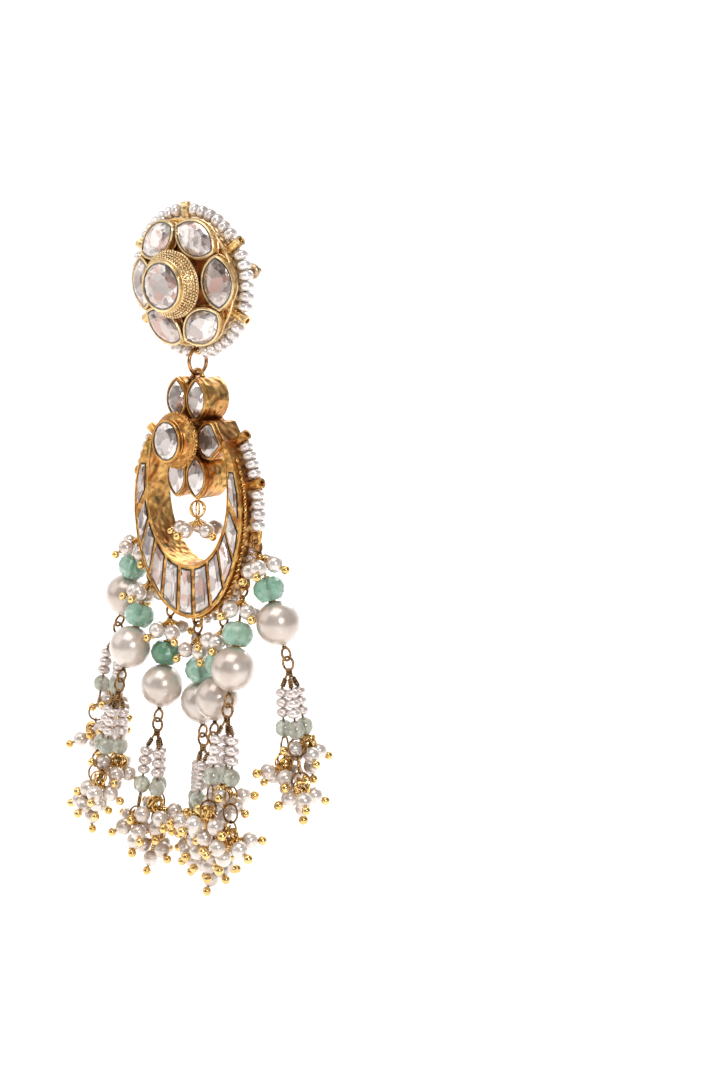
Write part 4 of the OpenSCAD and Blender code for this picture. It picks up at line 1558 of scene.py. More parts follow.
@dataclass
class PendantFrame:
    """Stones, lips, ropes and grains of the pendant's frame.

    Sizes are measured in the pendant's face frame, and angles in degrees from its foot.
    """

    layer: BeadLayer
    marquise_half_len: float = 3.05
    marquise_half_w: float = 1.75
    marquise_x: float = 2.1
    top_y: float = -4.6
    low_y: float = -16.8
    centre_y: float = -10.9
    stone_half_h: float = 3.0
    stone_half_w: float = 2.6
    girdle: float = 0.05  # over a stone's collet
    wall: float = 0.4
    lip: Lip = Lip(0.14, 0.02, 0.17)
    stem_z: float = 7.6
    collar_r: float = 4.2
    collar_h: float = 0.6
    slope_h: float = 1.4
    bezel_h: float = 0.6
    pear_a: float = 2.05
    pear_b: float = 2.6
    pear_x: float = 4.73
    pear_tip: tuple[float, float] = (2.35, -0.6)  # from the pear's middle
    rope_r: float = 0.3
    rope_end: float = 122.0
    rope_z: float = 4.55
    pearl_r: float = 1.15
    string_angles: tuple[float, ...] = (77, 105.5, 133.03)
    pearls_in_string: int = 4
    end_gap: float = 1.35  # room for the first lug of a string
    lug_gap: float = 0.92  # and for the others
    bail_r: float = 0.95
    bail_winding: Winding = Winding(0.44, 0.15, 1.6, 5)
    drop_angles: tuple[float, ...] = (-77, -52, -26.5, 0, 26.5, 52, 77)
    seed_r: float = 0.66
    seed_half: float = 0.47
    seed_pitch: float = 1.16
    seed_out: float = 0.72  # off the crescent's edge
    eye_gap: float = 1.3  # room for a drop's eye

    @property
    def face(self) -> float:
        """Height of the front face."""
        return PLACES.depth

    @property
    def top(self) -> float:
        """Height of the centre stone's bezel."""
        return self.stem_z + self.collar_h + self.slope_h + self.bezel_h

    @property
    def middle(self) -> Matrix:
        """The frame of the centre collar's axis, at the pendant's back."""
        return self.spot(0, self.centre_y, 0)

    def spot(self, x: float, y: float, z: float) -> Matrix:
        """A frame at a point of the pendant's own frame."""
        return PLACES.pendant @ Matrix.Translation((x, y, z))

    def at(self, x: float, y: float, z: float) -> Vector:
        """A point of the face frame in the earring's frame."""
        return PLACES.pendant @ Vector((x, y, z))

    def marquise(self, grow: float, n: int) -> list[tuple[float, float]]:
        """A pointed stone's outline, grown outwards."""
        return pointed_oval(self.marquise_half_len + grow, self.marquise_half_w + grow, n)

    def pear(self, side: int, grow: float) -> list[tuple[float, float]]:
        """Draws a pear.

        Args:
            side: 1 for the right one, -1 for the left one.
            grow: How far it is grown outwards.

        Returns:
            Its outline about its own middle.
        """
        angles = [math.radians(t) for t in range(70, 281, 15)]
        line = [((self.pear_a + grow) * math.cos(t), (self.pear_b + grow) * math.sin(t)) for t in angles]
        line.append((self.pear_tip[0] + 1.5 * grow, self.pear_tip[1] - 0.1 * grow))
        return [(side * x, y) for x, y in line]

    def stones(self) -> None:
        """Cuts the marquises, the pears, the centre stone and the crescent's stones."""
        cut, row_cut = CutStone(), CutStone(crown=0.5, table=0.66)
        clear, smoky, row = Sketch(), Sketch(), Sketch()
        z = self.face + self.girdle
        for side in (-1, 1):
            for y in (self.top_y, self.low_y):
                cut.cut(clear, self.spot(side * self.marquise_x, y, z), self.marquise(0, 6))
            cut.cut(smoky, self.spot(side * self.pear_x, self.centre_y, z), self.pear(side, 0))
        oval = ellipse(self.stone_half_w, self.stone_half_h, 14)
        cut.cut(clear, self.spot(0, self.centre_y, self.top + self.girdle), oval)
        for cell in CRESCENT.cells():
            row_cut.cut(row, self.spot(0, 0, z), cell)
        sides = ("left", "right")
        nodes = [f"{level}_stone_{side}" for level in ("top", "low") for side in sides]
        pears = [f"pear_stone_{side}" for side in sides]
        for sketch, name, finish, replaced in (
            (clear, "pendant_clear_stones", CLEAR_STONE, nodes + ["chand_centre_stone"]),
            (smoky, "pendant_pear_stones", SMOKY_STONE, pears),
            (row, "crescent_row", CLEAR_STONE, ["crescent_stones"]),
        ):
            sketch.piece(name, Body.PENDANT, finish, replaced, smooth=False)

    def lips(self) -> None:
        """Runs thin lips round the collets, the centre collar and the crescent's edges."""
        lips = Sketch()
        for side in (-1, 1):
            for y in (self.top_y, self.low_y):
                place = self.spot(side * self.marquise_x, y, self.face)
                for lip in (self.lip, Lip(self.wall, -0.75, 0.11)):
                    lips.hoop(place, self.marquise(lip.grow, 12), lip.z, lip.wire)
            place = self.spot(side * self.pear_x, self.centre_y, self.face)
            for lip in (self.lip, Lip(self.wall, -0.7, 0.11)):
                lips.hoop(place, self.pear(side, lip.grow), lip.z, lip.wire)
        for lip, sides in ((Lip(0.18, 0, 0.18), 7), (Lip(self.wall + 0.02, -0.55, 0.12), 6)):
            oval = ellipse(self.stone_half_w + lip.grow, self.stone_half_h + lip.grow, 36)
            lips.hoop(self.middle, oval, self.top + lip.z, lip.wire, sides)
        rim = Rim(self.collar_r - 0.02, self.stem_z + self.collar_h, 0.12)
        lips.hoop(self.middle, ellipse(rim.r, rim.r, 48), rim.z, rim.wire)
        outer, inner, end_y = CRESCENT.outer, CRESCENT.inner, self.centre_y + 0.1
        for curve, end, lip in (
            (outer, outer.end(end_y, 0) - 1, Lip(-0.02, self.face, 0.13)),
            (outer, outer.end(end_y, 0) - 1, Lip(-0.02, 0.06, 0.12)),
            (inner, inner.end(end_y, 0) - 3, Lip(0.02, self.face, 0.12)),
        ):
            lips.tube(curve.stretch(end, 60, lip.grow, lip.z), lip.wire, 6)
        lips.piece("pendant_lips", Body.PENDANT, ROPE_GILT)

    def ropes(self) -> None:
        """Twists a rope along the crescent's wall and round the centre collar."""
        ropes = Sketch()
        wall = CRESCENT.outer.stretch(self.rope_end, 90, 0.12, self.rope_z)
        ropes.rope(wall, self.rope_r, 1.0, False)
        r = self.collar_r + 0.02
        ropes.rope(raised(self.middle, ellipse(r, r, 60), self.stem_z + 0.3), self.rope_r, 0.9, True)
        ropes.piece("pendant_ropes", Body.PENDANT, ROPE_GILT)

    def grains(self) -> None:
        """Sets grains under the centre collar and on its slope."""
        front = Vector((0, -1, 0))
        rows = (
            GrainRow(self.collar_r - 0.12, self.stem_z - 0.06, 0.26),
            GrainRow(self.collar_r - 0.3, self.stem_z + 0.95, 0.2),
        )
        spots = []
        for k, row in enumerate(rows):
            spots += grain_ring(self.middle, row.r, row.z, row.size, 0.5 * k, front)
        self.layer.lay(
            "collar_grains", spots, BeadShape.GRAIN, Body.PENDANT, ROPE_GILT, uneven=0.1, seed=4
        )

    def edge_strings(self) -> None:
        """Strings the squashed pearls down both sides."""
        curve, grow = CRESCENT.outer, 0.15 + self.pearl_r
        spots = []
        for k, (first, last) in enumerate(zip(self.string_angles, self.string_angles[1:])):
            first += (self.lug_gap if k else self.end_gap) / curve.speed(first, grow)
            last -= self.lug_gap / curve.speed(last, grow)
            step = (last - first) / self.pearls_in_string
            for i in range(self.pearls_in_string):
                t = first + step * (i + 0.5)
                half = step * curve.speed(t, grow) / 2 - BEAD_GAP
                n = curve.normal(t)
                at = curve.at(t, 0) + grow * n
                for side in (-1, 1):
                    aim = heading(PLACES.pendant, Vector((-n.y * side, n.x, 0)))
                    middle = self.at(side * at.x, at.y, self.face / 2)
                    spots.append(Spot(middle, aim, self.pearl_r, half))
        self.layer.lay(
            "side_pearls", spots, BeadShape.SQUASHED, Body.PENDANT, RING_PEARL,
            ["edge_pearls_left", "edge_pearls_right"], uneven=0.04, seed=6,
        )

    def foot_seeds(self) -> None:
        """Strings small seed pearls along the foot, between the drops' eyes."""
        curve, grow = CRESCENT.outer, self.seed_out
        spots, thread = [], Sketch()
        for first, last in zip(self.drop_angles, self.drop_angles[1:]):
            a = first + self.eye_gap / curve.speed(first, grow)
            b = last - self.eye_gap / curve.speed(last, grow)
            length = (b - a) * curve.speed((a + b) / 2, grow)
            count = max(2, int(length / self.seed_pitch))
            for i in range(count):
                t = a + (b - a) * (i + 0.5) / count
                n = curve.normal(t)
                at = curve.at(t, 0) + grow * n
                aim = heading(PLACES.pendant, Vector((-n.y, n.x, 0)))
                spots.append(Spot(self.at(at.x, at.y, self.face / 2), aim, self.seed_r, self.seed_half))
            line = [curve.at(a + (b - a) * i / 6, grow) for i in range(7)]
            thread.tube([self.at(p.x, p.y, self.face / 2) for p in line], 0.12, 6)
        self.layer.lay(
            "foot_seeds", spots, BeadShape.SEED, Body.PENDANT, SEED_PEARL, uneven=0.08, seed=7
        )
        thread.piece("foot_thread", Body.PENDANT, COTTON)

    def bail_wraps(self) -> None:
        """Winds wire on the bail's legs."""
        wraps = Sketch()
        down = heading(PLACES.pendant, Vector((0, -1, 0)))
        for side in (-1, 1):
            start = self.at(side * self.bail_r, -self.bail_r, self.face / 2)
            wraps.coil(along(start, down), self.bail_winding)
        wraps.piece("bail_wraps", Body.PENDANT, BRONZE_WIRE)

    def build(self) -> None:
        """Makes every piece of the frame."""
        self.stones()
        self.lips()
        self.ropes()
        self.grains()
        self.edge_strings()
        self.foot_seeds()
        self.bail_wraps()


# The drops


@dataclass(frozen=True)
class Hang:
    """How one drop hangs, in degrees.

    Attributes:
        lug: Its eye's angle on the crescent.
        side: The drop's lean to the side.
        front: Its lean to the front.
        tassel_side: The tassel's further lean to the side.
        tassel_front: Its further lean to the front.
        head_turn: Turn of the small pearls at its head.
        strand_turn: Turn of the tassel's strands.
    """

    lug: float
    side: float
    front: float
    tassel_side: float
    tassel_front: float
    head_turn: float
    strand_turn: float

    @property
    def hand(self) -> int:
        """Minus one for the drops on the left, which are turned as in a mirror."""
        return -1 if self.lug < 0 else 1

    def turn(self, j: int) -> float:
        """Where one of the tassel's strands stands, in degrees round it."""
        return 90 + self.strand_turn + self.hand * 120 * j


DROPS = (
    Hang(-77, -19, -1, 11, 2, -20, 15),
    Hang(-52, -5.5, 18.5, 1.5, -8, -70, -30),
    Hang(-26.5, -1, 9, 0, -3, -20, -115),
    Hang(0, 0, -4, -1, 5, 45, 72),
    Hang(26.5, 1, 9, 0, -3, 20, 115),
    Hang(52, 5.5, 18.5, -1.5, -8, 70, 30),
    Hang(77, 19, -1, -11, 2, 20, -15),
)
DARK_DROP = 3


@dataclass
class Crowd:
    """The balls that are already placed, so that another one is set only where there is room.

    Attributes:
        low: Lowest corner of the box that they keep to.
        high: Its highest corner.
        gap: Least gap between two balls.
        balls: Middle and radius of each ball.
    """

    low: Vector
    high: Vector
    gap: float = 0.08
    balls: list[tuple[Vector, float]] = field(default_factory=list)

    def add(self, at: Vector, radius: float) -> None:
        """Takes up a place."""
        self.balls.append((at, radius))

    def room(self, at: Vector, radius: float) -> bool:
        """Looks for room.

        Args:
            at: The ball's middle.
            radius: Its radius.

        Returns:
            True if it fits here.
        """
        for low, part, high in zip(self.low, at, self.high):
            if not low + radius < part < high - radius:
                return False
        return all((at - other).length > radius + size + self.gap for other, size in self.balls)


@dataclass(frozen=True)
class Hub:
    """Where pins start.

    Attributes:
        place: The frame of the drop or tassel.
        at: The point in it.
        coils: Takes the gold coils.
        wires: Takes the straight wires.
    """

    place: Matrix
    at: Vector
    coils: Sketch
    wires: Sketch


class Facets(NamedTuple):
    """A row of a green bead's points: shares of its radius and height, and a turn in steps."""

    share: float
    height: float
    shift: float


@dataclass
class Fringe:
    """The seven drops with their tassels, and the inner drop.

    Heights are measured from a drop's eye, and a tassel's from the wire of the drop's foot loop.
    """

    layer: BeadLayer
    crowd: Crowd
    wire: float = 0.2
    fine_wire: float = 0.16
    strand_r: float = 0.17
    top_winding: Winding = Winding(0.34, 0.15, 1.4, 4.5)
    foot_winding: Winding = Winding(0.32, 0.13, 0.55, 2)
    knot_winding: Winding = Winding(0.42, 0.16, 1.1, 3.5)
    lead_winding: Winding = Winding(0.3, 0.13, 1.35, 4.5)
    cage_winding: Winding = Winding(0.28, 0.13, 0.65, 2.5)
    hub_winding: Winding = Winding(0.3, 0.14, 0.75, 3)
    pin_pitch: float = 0.29
    loop_r: float = 0.95
    loop_z: float = -1.1
    large_r: float = 3.4
    green_r: float = 2.5
    green_h: float = 3.5
    green_rows: tuple[Facets, ...] = (
        Facets(0.62, 0.5, 0.0), Facets(0.9, 0.27, 0.5), Facets(1.0, 0.0, 0.0),
        Facets(0.9, -0.27, 0.5), Facets(0.62, -0.5, 0.0),
    )
    small_r: float = 1.3
    pale_r: float = 1.35
    seed_r: float = 1.05
    seed_len: float = 4.4
    seeds: int = 3
    tip_r: float = 0.7
    head_out: float = 2.75
    head_down: float = 39.0  # degrees below level, as pin_down
    strands: int = 3
    tassel_ring_r: float = 1.0
    tassel_ring_z: float = -0.46
    knot_drop: float = 1.2  # from the ring's middle to the knot's foot
    cone_len: float = 2.4  # bare wires under the knot
    end_drop: float = 1.6  # from the pale bead to the shortest strand's head
    end_step: float = 2.9  # from one strand's head to the next one's
    link_len: float = 2.5
    nest_loops: int = 9
    nest_lift: float = 0.55
    pin_out: float = 2.35
    pin_down: float = 30.0
    crossbar_y: float = -19.1
    bronze: Sketch = field(default_factory=Sketch)
    strand_wire: Sketch = field(default_factory=Sketch)
    gold: Sketch = field(default_factory=Sketch)
    inner_gold: Sketch = field(default_factory=Sketch)
    greens: Sketch = field(default_factory=Sketch)
    dark_green: Sketch = field(default_factory=Sketch)
    smalls: list[Spot] = field(default_factory=list)
    larges: list[Spot] = field(default_factory=list)
    pales: list[Spot] = field(default_factory=list)
    seed_spots: list[Spot] = field(default_factory=list)
    tips: list[Spot] = field(default_factory=list)
    chance: random.Random = field(default_factory=lambda: random.Random(11))

    @property
    def coil_z(self) -> float:
        """Foot of the coil under the top loop."""
        return self.loop_z - self.loop_r - 1.2

    @property
    def head_z(self) -> float:
        """Height at which the small pearls' pins start."""
        return self.coil_z + 0.5

    @property
    def green_z(self) -> float:
        """Middle of the green bead."""
        return self.coil_z - self.green_h / 2 - 2.9

    @property
    def large_z(self) -> float:
        """Middle of the large pearl."""
        return self.green_z - self.green_h / 2 - self.large_r - 0.12

    @property
    def foot_z(self) -> float:
        """Middle of the foot loop."""
        return self.large_z - self.large_r - 0.4 - self.loop_r

    @property
    def pale_at(self) -> float:
        """From the top of a strand's seed pearls to the middle of its pale bead."""
        return self.seed_len + 0.3 + self.pale_r

    def drop_place(self, hang: Hang) -> Matrix:
        """Places a drop.

        Args:
            hang: How it hangs.

        Returns:
            Its frame, from its eye down.
        """
        eye = CRESCENT.outer.at(hang.lug, 0) + CRESCENT.outer.normal(hang.lug)
        at = PLACES.bail + Vector((eye.x, 0, eye.y))
        return Matrix.Translation(at) @ turned(-hang.front, -hang.side)

    def tassel_place(self, hang: Hang) -> Matrix:
        """The frame of a tassel, from the foot loop's wire down."""
        pivot = lift(self.foot_z - self.loop_r)
        return self.drop_place(hang) @ pivot @ turned(-hang.tassel_front, -hang.tassel_side)

    def drop_hub(self, hang: Hang) -> Hub:
        """Where the small pearls' pins start at a drop's head."""
        return Hub(self.drop_place(hang), Vector((0, 0, self.head_z)), self.gold, self.bronze)

    def strand_hub(self, hang: Hang, j: int) -> Hub:
        """Where the pins start at a strand's head."""
        _, _, head = self.strand_ends(hang, j)
        return Hub(self.tassel_place(hang), head, self.gold, self.strand_wire)

    def reach(self, out: float, bead_r: float) -> float:
        """How far out a pin's gold ball lies."""
        return out + bead_r + self.tip_r + 0.03

    def pin(self, hub: Hub, way: Vector, out: float, bead_r: float) -> None:
        """Sets a wound pin with a small pearl and a gold ball.

        Args:
            hub: Where it starts.
            way: Its way in the hub's frame.
            out: Distance of the pearl's middle.
            bead_r: The pearl's radius.
        """
        a, way = hub.place @ hub.at, heading(hub.place, way).normalized()
        bead, tip = a + out * way, a + self.reach(out, bead_r) * way
        hub.wires.rod(a + 0.3 * way, tip, self.fine_wire, 6)
        length = out - bead_r - 0.35
        if length > 0.25:
            winding = Winding(0.3, 0.14, length, length / self.pin_pitch)
            hub.coils.coil(along(a + 0.35 * way, way), winding)
        self.smalls.append(Spot(bead, way, bead_r, bead_r))
        self.tips.append(Spot(tip, way, self.tip_r, self.tip_r))
        self.crowd.add(bead, bead_r)
        self.crowd.add(tip, self.tip_r)

    def spare_pins(
        self, hub: Hub, tries: Sequence[tuple[float, float, float]], bead_r: float, most: int
    ) -> None:
        """Sets further pins where their pearl and ball have room.

        Args:
            hub: Where they start.
            tries: Turn, lean and reach of each pin that is tried.
            bead_r: Radius of the pearls.
            most: How many are set at most.
        """
        left = most
        for turn, down, out in tries:
            way = way_of(turn, down)
            bead = hub.place @ (hub.at + out * way)
            tip = hub.place @ (hub.at + self.reach(out, bead_r) * way)
            if left and self.crowd.room(bead, bead_r) and self.crowd.room(tip, self.tip_r):
                self.pin(hub, way, out, bead_r)
                left -= 1

    def green(self, place: Matrix, glass: Sketch) -> None:
        """Adds a rondelle with rows of staggered facets, and small gold rings above and below.

        Args:
            place: The frame of the drop.
            glass: Takes the bead.
        """
        sides = 14
        rings = []
        for row in self.green_rows:
            r, z = row.share * self.green_r, self.green_z + row.height * self.green_h
            angles = [TURN * (k + row.shift) / sides for k in range(sides)]
            rings.append([glass.point(place @ polar(r, a, z)) for a in angles])
        for low, high, row in zip(rings, rings[1:], self.green_rows):
            for k in range(sides):
                n = (k + 1) % sides
                if row.shift:
                    glass.faces += [(low[k], high[n], high[k]), (low[k], low[n], high[n])]
                else:
                    glass.faces += [(low[k], low[n], high[k]), (low[n], high[n], high[k])]
        glass.faces += [tuple(rings[0]), tuple(rings[-1])]
        for z in (self.green_z + self.green_h / 2 + 0.1, self.green_z - self.green_h / 2 - 0.05):
            self.gold.ring(place @ lift(z), 0.5, 0.14, 16, 6)

    def drop(self, hang: Hang) -> None:
        """Hangs one drop from its loop to its foot loop.

        Args:
            hang: How it hangs.
        """
        place = self.drop_place(hang)
        for z in (self.loop_z, self.foot_z):
            self.bronze.ring(place @ lift(z) @ spun(QUARTER, "Y"), self.loop_r, self.wire)
        top, foot = self.loop_z - self.loop_r, self.foot_z + self.loop_r
        self.bronze.rod(place @ Vector((0, 0, top)), place @ Vector((0, 0, foot)), self.wire)
        self.bronze.coil(place @ lift(top - 1.5), self.top_winding)
        self.bronze.coil(place @ lift(foot - 0.2), self.foot_winding)
        aim = heading(place, Vector((0, 0, 1)))
        self.larges.append(Spot(place @ Vector((0, 0, self.large_z)), aim, self.large_r, self.large_r))
        self.green(place, self.dark_green if hang is DROPS[DARK_DROP - 1] else self.greens)
        hub = self.drop_hub(hang)
        self.gold.ball(place @ hub.at, 0.5, 10)
        for k in (-1, 0, 1):
            way = way_of(hang.head_turn - 90 + 80 * k, self.head_down)
            self.pin(hub, way, self.head_out, self.small_r)

    def strand_ends(self, hang: Hang, j: int) -> tuple[Vector, Vector, Vector]:
        """Finds the main points of one strand.

        Args:
            hang: How the drop hangs.
            j: The strand's number.

        Returns:
            The knot's end, the top of the seed pearls and the strand's head.
        """
        turn = math.radians(hang.turn(j))
        knot_z = self.tassel_ring_z - self.knot_drop
        top_z = knot_z - self.cone_len
        head_z = top_z - self.pale_at - self.pale_r - self.end_drop - self.end_step * j
        return polar(0.3, turn, knot_z - 0.3), polar(1.4, turn, top_z), polar(2.1, turn, head_z)

    def fill(self) -> None:
        """Takes up the room of all large beads before further pins are tried."""
        for hang in DROPS:
            drop, tassel = self.drop_place(hang), self.tassel_place(hang)
            self.crowd.add(drop @ Vector((0, 0, self.large_z)), self.large_r)
            self.crowd.add(drop @ Vector((0, 0, self.green_z)), self.green_r)
            for j in range(self.strands):
                _, top, head = self.strand_ends(hang, j)
                way = (head - top).normalized()
                for i in range(5):
                    self.crowd.add(tassel @ (top + self.seed_len * i / 4 * way), self.seed_r)
                self.crowd.add(tassel @ (top + self.pale_at * way), self.pale_r)
                self.crowd.add(tassel @ head, 0.5)

    def tassel(self, hang: Hang) -> None:
        """Hangs one tassel: a ring, a wound knot and three strands.

        Args:
            hang: How its drop hangs.
        """
        place, wire = self.tassel_place(hang), self.strand_wire
        ring = place @ lift(self.tassel_ring_z)
        wire.ring(ring @ spun(QUARTER, "X"), self.tassel_ring_r, self.wire)
        wire.coil(ring @ lift(-1.95), self.knot_winding)
        for j in range(self.strands):
            start, top, head = self.strand_ends(hang, j)
            way, lead = (head - top).normalized(), (top - start).normalized()
            wire.rod(place @ start, place @ top, self.strand_r, 7)
            wire.coil(place @ along(top - 1.5 * lead, lead), self.lead_winding)
            wire.rod(place @ top, place @ (top + (self.seed_len + 3.1) * way), self.strand_r, 7)
            aim = heading(place, way)
            for i in range(self.seeds):
                at = top + self.seed_len * (i + 0.5) / self.seeds * way
                half = self.seed_len / self.seeds / 2 - 0.01
                self.seed_spots.append(Spot(place @ at, aim, self.seed_r, half))
            self.pales.append(Spot(place @ (top + self.pale_at * way), aim, self.pale_r, self.pale_r))
            self.chain(place, top + (self.pale_at + self.pale_r) * way, head, way)
            self.nest(place @ head)

    def chain(self, place: Matrix, start: Vector, end: Vector, way: Vector) -> None:
        """Links wire rings, each turned a quarter from the last.

        Args:
            place: The frame of the tassel.
            start: Where the chain starts in it.
            end: Where it ends in it.
            way: Its way.
        """
        length = (end - start).length
        count = max(1, round(length / self.link_len))
        pitch = length / count
        for i in range(count):
            turn = spun(QUARTER * (i % 2), "Z") @ spun(QUARTER, "X")
            link = place @ along(start + (i + 0.5) * pitch * way, way) @ turn
            self.strand_wire.ring(link, pitch / 2 + 0.12, self.fine_wire, 18, 6)

    def nest(self, at: Vector) -> None:
        """Tangles gold loops round the head of a strand.

        Args:
            at: The head.
        """
        uniform = self.chance.uniform
        for i in range(self.nest_loops):
            tilt = spun(uniform(0.7, 1.57), "X")
            spin = spun(TURN * i / self.nest_loops + uniform(-0.3, 0.3), "Z")
            shift = Vector([uniform(-0.35, 0.35) for _ in range(3)]) + Vector((0, 0, self.nest_lift))
            loop = Matrix.Translation(at + shift) @ spin @ tilt
            self.gold.ring(loop, uniform(0.75, 1.25), 0.15, 16, 6)

    def tassel_pins(self, hang: Hang) -> None:
        """Sets the strands' end pins.

        Args:
            hang: How the drop hangs.
        """
        for j in range(self.strands):
            hub = self.strand_hub(hang, j)
            for k in (-1, 0, 1):
                self.pin(hub, way_of(hang.turn(j) + 110 * k, self.pin_down), self.pin_out, self.small_r)

    def spare(self, hang: Hang) -> None:
        """Sets further pins at the drop's head and the strands' ends, where there is room.

        Args:
            hang: How the drop hangs.
        """
        around = [(hang.head_turn + 90 + t, d, 2.6) for t in (0, 35, -35, 70, -70) for d in (20, 5, 40)]
        self.spare_pins(self.drop_hub(hang), around, 1.15, 2)
        for j in range(self.strands):
            tries = [
                (hang.turn(j) + t, d, out)
                for out in (2.5, 3.1) for d in (70, 85, 50, 20, 0) for t in (55, -55, 0, 150, -150, 180)
            ]
            self.spare_pins(self.strand_hub(hang, j), tries, 1.2, 3)

    def inner_drop(self) -> None:
        """Hangs the small drop inside the crescent, with a cage of three rings."""
        place = Matrix.Translation(PLACES.bail + Vector((0, 0, self.crossbar_y)))
        loop_z, cage_r = -0.31, 1.3
        cage_z = loop_z - self.loop_r - cage_r - 0.6
        hub_z = cage_z - cage_r - 0.8
        wire = self.inner_gold
        wire.ring(place @ lift(loop_z) @ spun(QUARTER, "Y"), self.loop_r, self.wire)
        wire.coil(place @ lift(cage_z + cage_r), self.cage_winding)
        for turn in (0.0, 1.1, 2.1):
            cage = place @ lift(cage_z) @ spun(turn, "Z") @ spun(QUARTER, "X")
            wire.ring(cage, cage_r, self.fine_wire)
        wire.coil(place @ lift(hub_z + 0.2), self.hub_winding)
        hub = Hub(place, Vector((0, 0, hub_z)), wire, wire)
        wire.ball(place @ hub.at, 0.55, 10)
        for k in range(5):
            self.pin(hub, way_of(72 * k - 90, 20), 3.0, self.small_r)

    def build(self) -> None:
        """Makes every piece of the fringe."""
        self.fill()
        self.inner_drop()
        for hang in DROPS:
            self.drop(hang)
            self.tassel(hang)
            self.tassel_pins(hang)
        for hang in DROPS:
            self.spare(hang)
        numbers = range(1, len(DROPS) + 1)
        light = [f"green_bead_{i}" for i in numbers if i != DARK_DROP]
        for sketch, name, finish, replaced, smooth in (
            (self.bronze, "drop_wires", BRONZE_WIRE, [f"drop_pin_{i}" for i in numbers], True),
            (self.strand_wire, "tassel_wires", BRONZE_WIRE, [f"tassel_{i}" for i in numbers], True),
            (self.gold, "gold_coils", BRIGHT_GOLD, (), True),
            (self.inner_gold, "inner_wires", BRIGHT_GOLD, ["inner_drop_wire"], True),
            (self.greens, "green_rondelles", JADE, light, False),
            (self.dark_green, "dark_rondelle", DARK_JADE, [f"green_bead_{DARK_DROP}"], False),
        ):
            sketch.piece(name, Body.PENDANT, finish, replaced, smooth)
        pearls = [f"large_pearl_{i}" for i in numbers]
        smalls = ["head_pearls", "tassel_pearls", "inner_drop_pearls"]
        for name, spots, shape, finish, replaced, uneven, seed in (
            ("drop_pearls", self.larges, BeadShape.PEARL, DROP_PEARL, pearls, 0.0, 1),
            ("cluster_pearls", self.smalls, BeadShape.SMALL, SMALL_PEARL, smalls, 0.03, 8),
            ("pale_strand_beads", self.pales, BeadShape.SMALL, PALE_GREEN, ["pale_beads"], 0.03, 9),
            ("strand_seeds", self.seed_spots, BeadShape.SEED, SEED_PEARL, (), 0.06, 10),
            ("pin_balls", self.tips, BeadShape.TIP, BRIGHT_GOLD, (), 0.06, 12),
        ):
            self.layer.lay(name, spots, shape, Body.PENDANT, finish, replaced, uneven, seed)


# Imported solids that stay, the stage and the camera


def dress_solids() -> None:
    """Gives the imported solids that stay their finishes."""
    for node, finish in (
        ("rosette_frame", STUD_GILT), ("ear_post", POST_GOLD), ("rosette_thread", COTTON),
        ("chand_frame", PENDANT_GILT), ("edge_thread_left", COTTON), ("edge_thread_right", COTTON),
    ):
        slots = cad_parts[node].data.materials
        slots.clear()
        slots.append(finish.material)
        LOG.info("%s keeps its solid, finished as %s", node, finish.name)


class Lamp(NamedTuple):
    """A square light: where it hangs, in degrees and from the aimed point, its size and its watts."""

    name: str
    azimuth: float
    height: float
    distance: float
    size: float
    power: float


def outward(azimuth: float, height: float) -> Vector:
    """The way from the earring to a lamp or the camera.

    Args:
        azimuth: Degrees round the earring, from its front.
        height: Degrees over level.

    Returns:
        A unit vector.
    """
    a, e = math.radians(azimuth), math.radians(height)
    return Vector((math.sin(a) * math.cos(e), -math.cos(a) * math.cos(e), math.sin(e)))


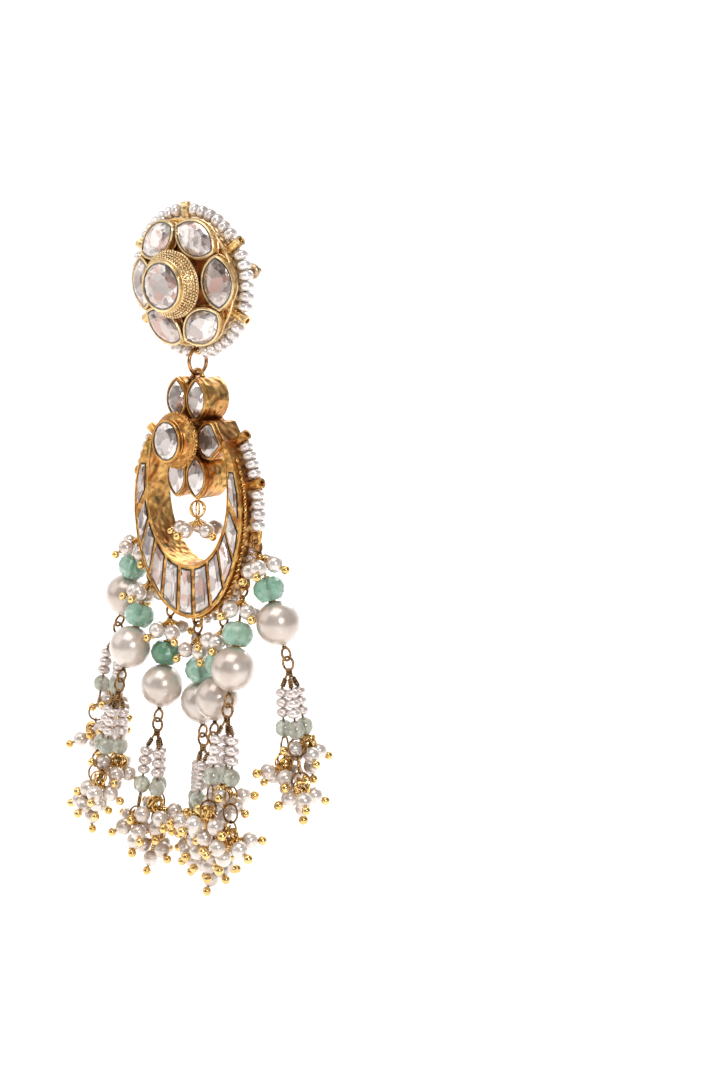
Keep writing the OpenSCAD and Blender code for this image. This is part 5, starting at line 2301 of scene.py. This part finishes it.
@dataclass
class Studio:
    """The pale floor, the white walls, the soft lights and the camera.

    The room's sizes are in millimetres, angles in degrees and the focal length in pixels.
    """

    floor_z: float = -97.0
    floor_half: float = 1600.0
    floor_front: float = -900.0
    floor_back: float = 500.0
    bend: float = 300.0  # radius of the floor's bend
    floor_top: float = 1500.0
    wall_r: float = 2600.0
    azimuth: float = 41.6
    distance: float = 250.0
    focal: float = 1574.0
    sensor: float = 36.0
    picture: tuple[int, int] = (720, 1080)
    centre: tuple[float, float] = (207.0, 279.6)  # the picture's point straight ahead
    aside: float = 2.0  # X of the point that it shows
    aim_z: float = -42.0
    lamps: tuple[Lamp, ...] = (
        Lamp("key", 60, 22, 420, 70, 0.55),
        Lamp("top", 10, 72, 380, 300, 0.8),
        Lamp("left", -50, 30, 420, 340, 0.45),
        Lamp("back", 200, 35, 420, 240, 0.4),
    )
    sky: float = 0.22

    def floor(self) -> None:
        """Lays a floor that curves up behind the earring."""
        sweep = [(self.floor_front, 0.0), (self.floor_back, 0.0)]
        for a in (0.3, 0.6, 0.9, 1.2, 1.57):
            y, z = self.bend * math.sin(a), self.bend - self.bend * math.cos(a)
            sweep.append((self.floor_back + y, z))
        sweep.append((self.floor_back + self.bend, self.floor_top))
        turn = spun(math.radians(self.azimuth), "Z")
        points = [
            (turn @ Vector((x, y, z + self.floor_z))) * MM
            for y, z in sweep for x in (-self.floor_half, self.floor_half)
        ]
        mesh = bpy.data.meshes.new("floor")
        strips = [(2 * i, 2 * i + 1, 2 * i + 3, 2 * i + 2) for i in range(len(sweep) - 1)]
        mesh.from_pydata(points, [], strips)
        mesh.shade_smooth()
        mesh.materials.append(FLOOR.material)
        show("floor", mesh)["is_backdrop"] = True

    def walls(self) -> None:
        """Closes the room with a plain white shell that lights and shades nothing."""
        shell = Sketch()
        shell.ball(Vector((0, 0, self.floor_z)), self.wall_r, 48)
        walls = show("walls", shell.mesh("walls", True))
        walls.data.materials.append(WALL.material)
        walls.visible_diffuse = walls.visible_glossy = walls.visible_transmission = False
        walls.visible_shadow = False
        walls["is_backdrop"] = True

    def light(self) -> None:
        """Hangs soft square lights round the earring, in a white room."""
        aim = Vector((0, 0, self.aim_z))
        for lamp in self.lamps:
            data = bpy.data.lights.new(lamp.name, "AREA")
            data.shape, data.size, data.energy = "SQUARE", lamp.size * MM, lamp.power
            back = outward(lamp.azimuth, lamp.height)
            hung = show(lamp.name, data)
            hung.location = (aim + lamp.distance * back) * MM
            hung.rotation_euler = (-back).to_track_quat("-Z", "Y").to_euler()
        world = bpy.data.worlds.new("white_room")
        world.use_nodes = True
        sky = world.node_tree.nodes["Background"].inputs
        sky["Color"].default_value, sky["Strength"].default_value = (1, 1, 1, 1), self.sky
        bpy.context.scene.world = world
        bpy.context.scene.view_settings.view_transform = "Standard"

    def camera(self) -> None:
        """Sets the level camera at the photograph's angle."""
        data = bpy.data.cameras.new("camera")
        width, height = self.picture
        data.sensor_width, data.lens = self.sensor, self.sensor * self.focal / height
        data.shift_x = (width / 2 - self.centre[0]) / height
        data.shift_y = -(height / 2 - self.centre[1]) / height
        data.clip_start, data.clip_end = 0.01, 10.0
        back = outward(self.azimuth, 0)
        eye = show("camera", data)
        eye.location = (Vector((self.aside, 0, 0)) + self.distance * back) * MM
        eye.rotation_euler = (-back).to_track_quat("-Z", "Y").to_euler()
        bpy.context.scene.camera = eye

    def build(self) -> None:
        """Sets the whole stage."""
        self.floor()
        self.walls()
        self.light()
        self.camera()


def main() -> None:
    """Makes the pieces in order."""
    logging.basicConfig(level=logging.INFO, format="%(name)s: %(message)s")
    solid_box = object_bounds()
    Studio().build()
    dress_solids()
    layer = BeadLayer()
    edge = Vector((0.3, 0.3, 0.9))
    low, high = (Vector(corner) / MM for corner in solid_box)
    crowd = Crowd(low - edge, high + edge)
    for part in (Rosette(layer), Link(), PendantFrame(layer), Fringe(layer, crowd)):
        part.build()


if __name__ == "__main__":
    main()
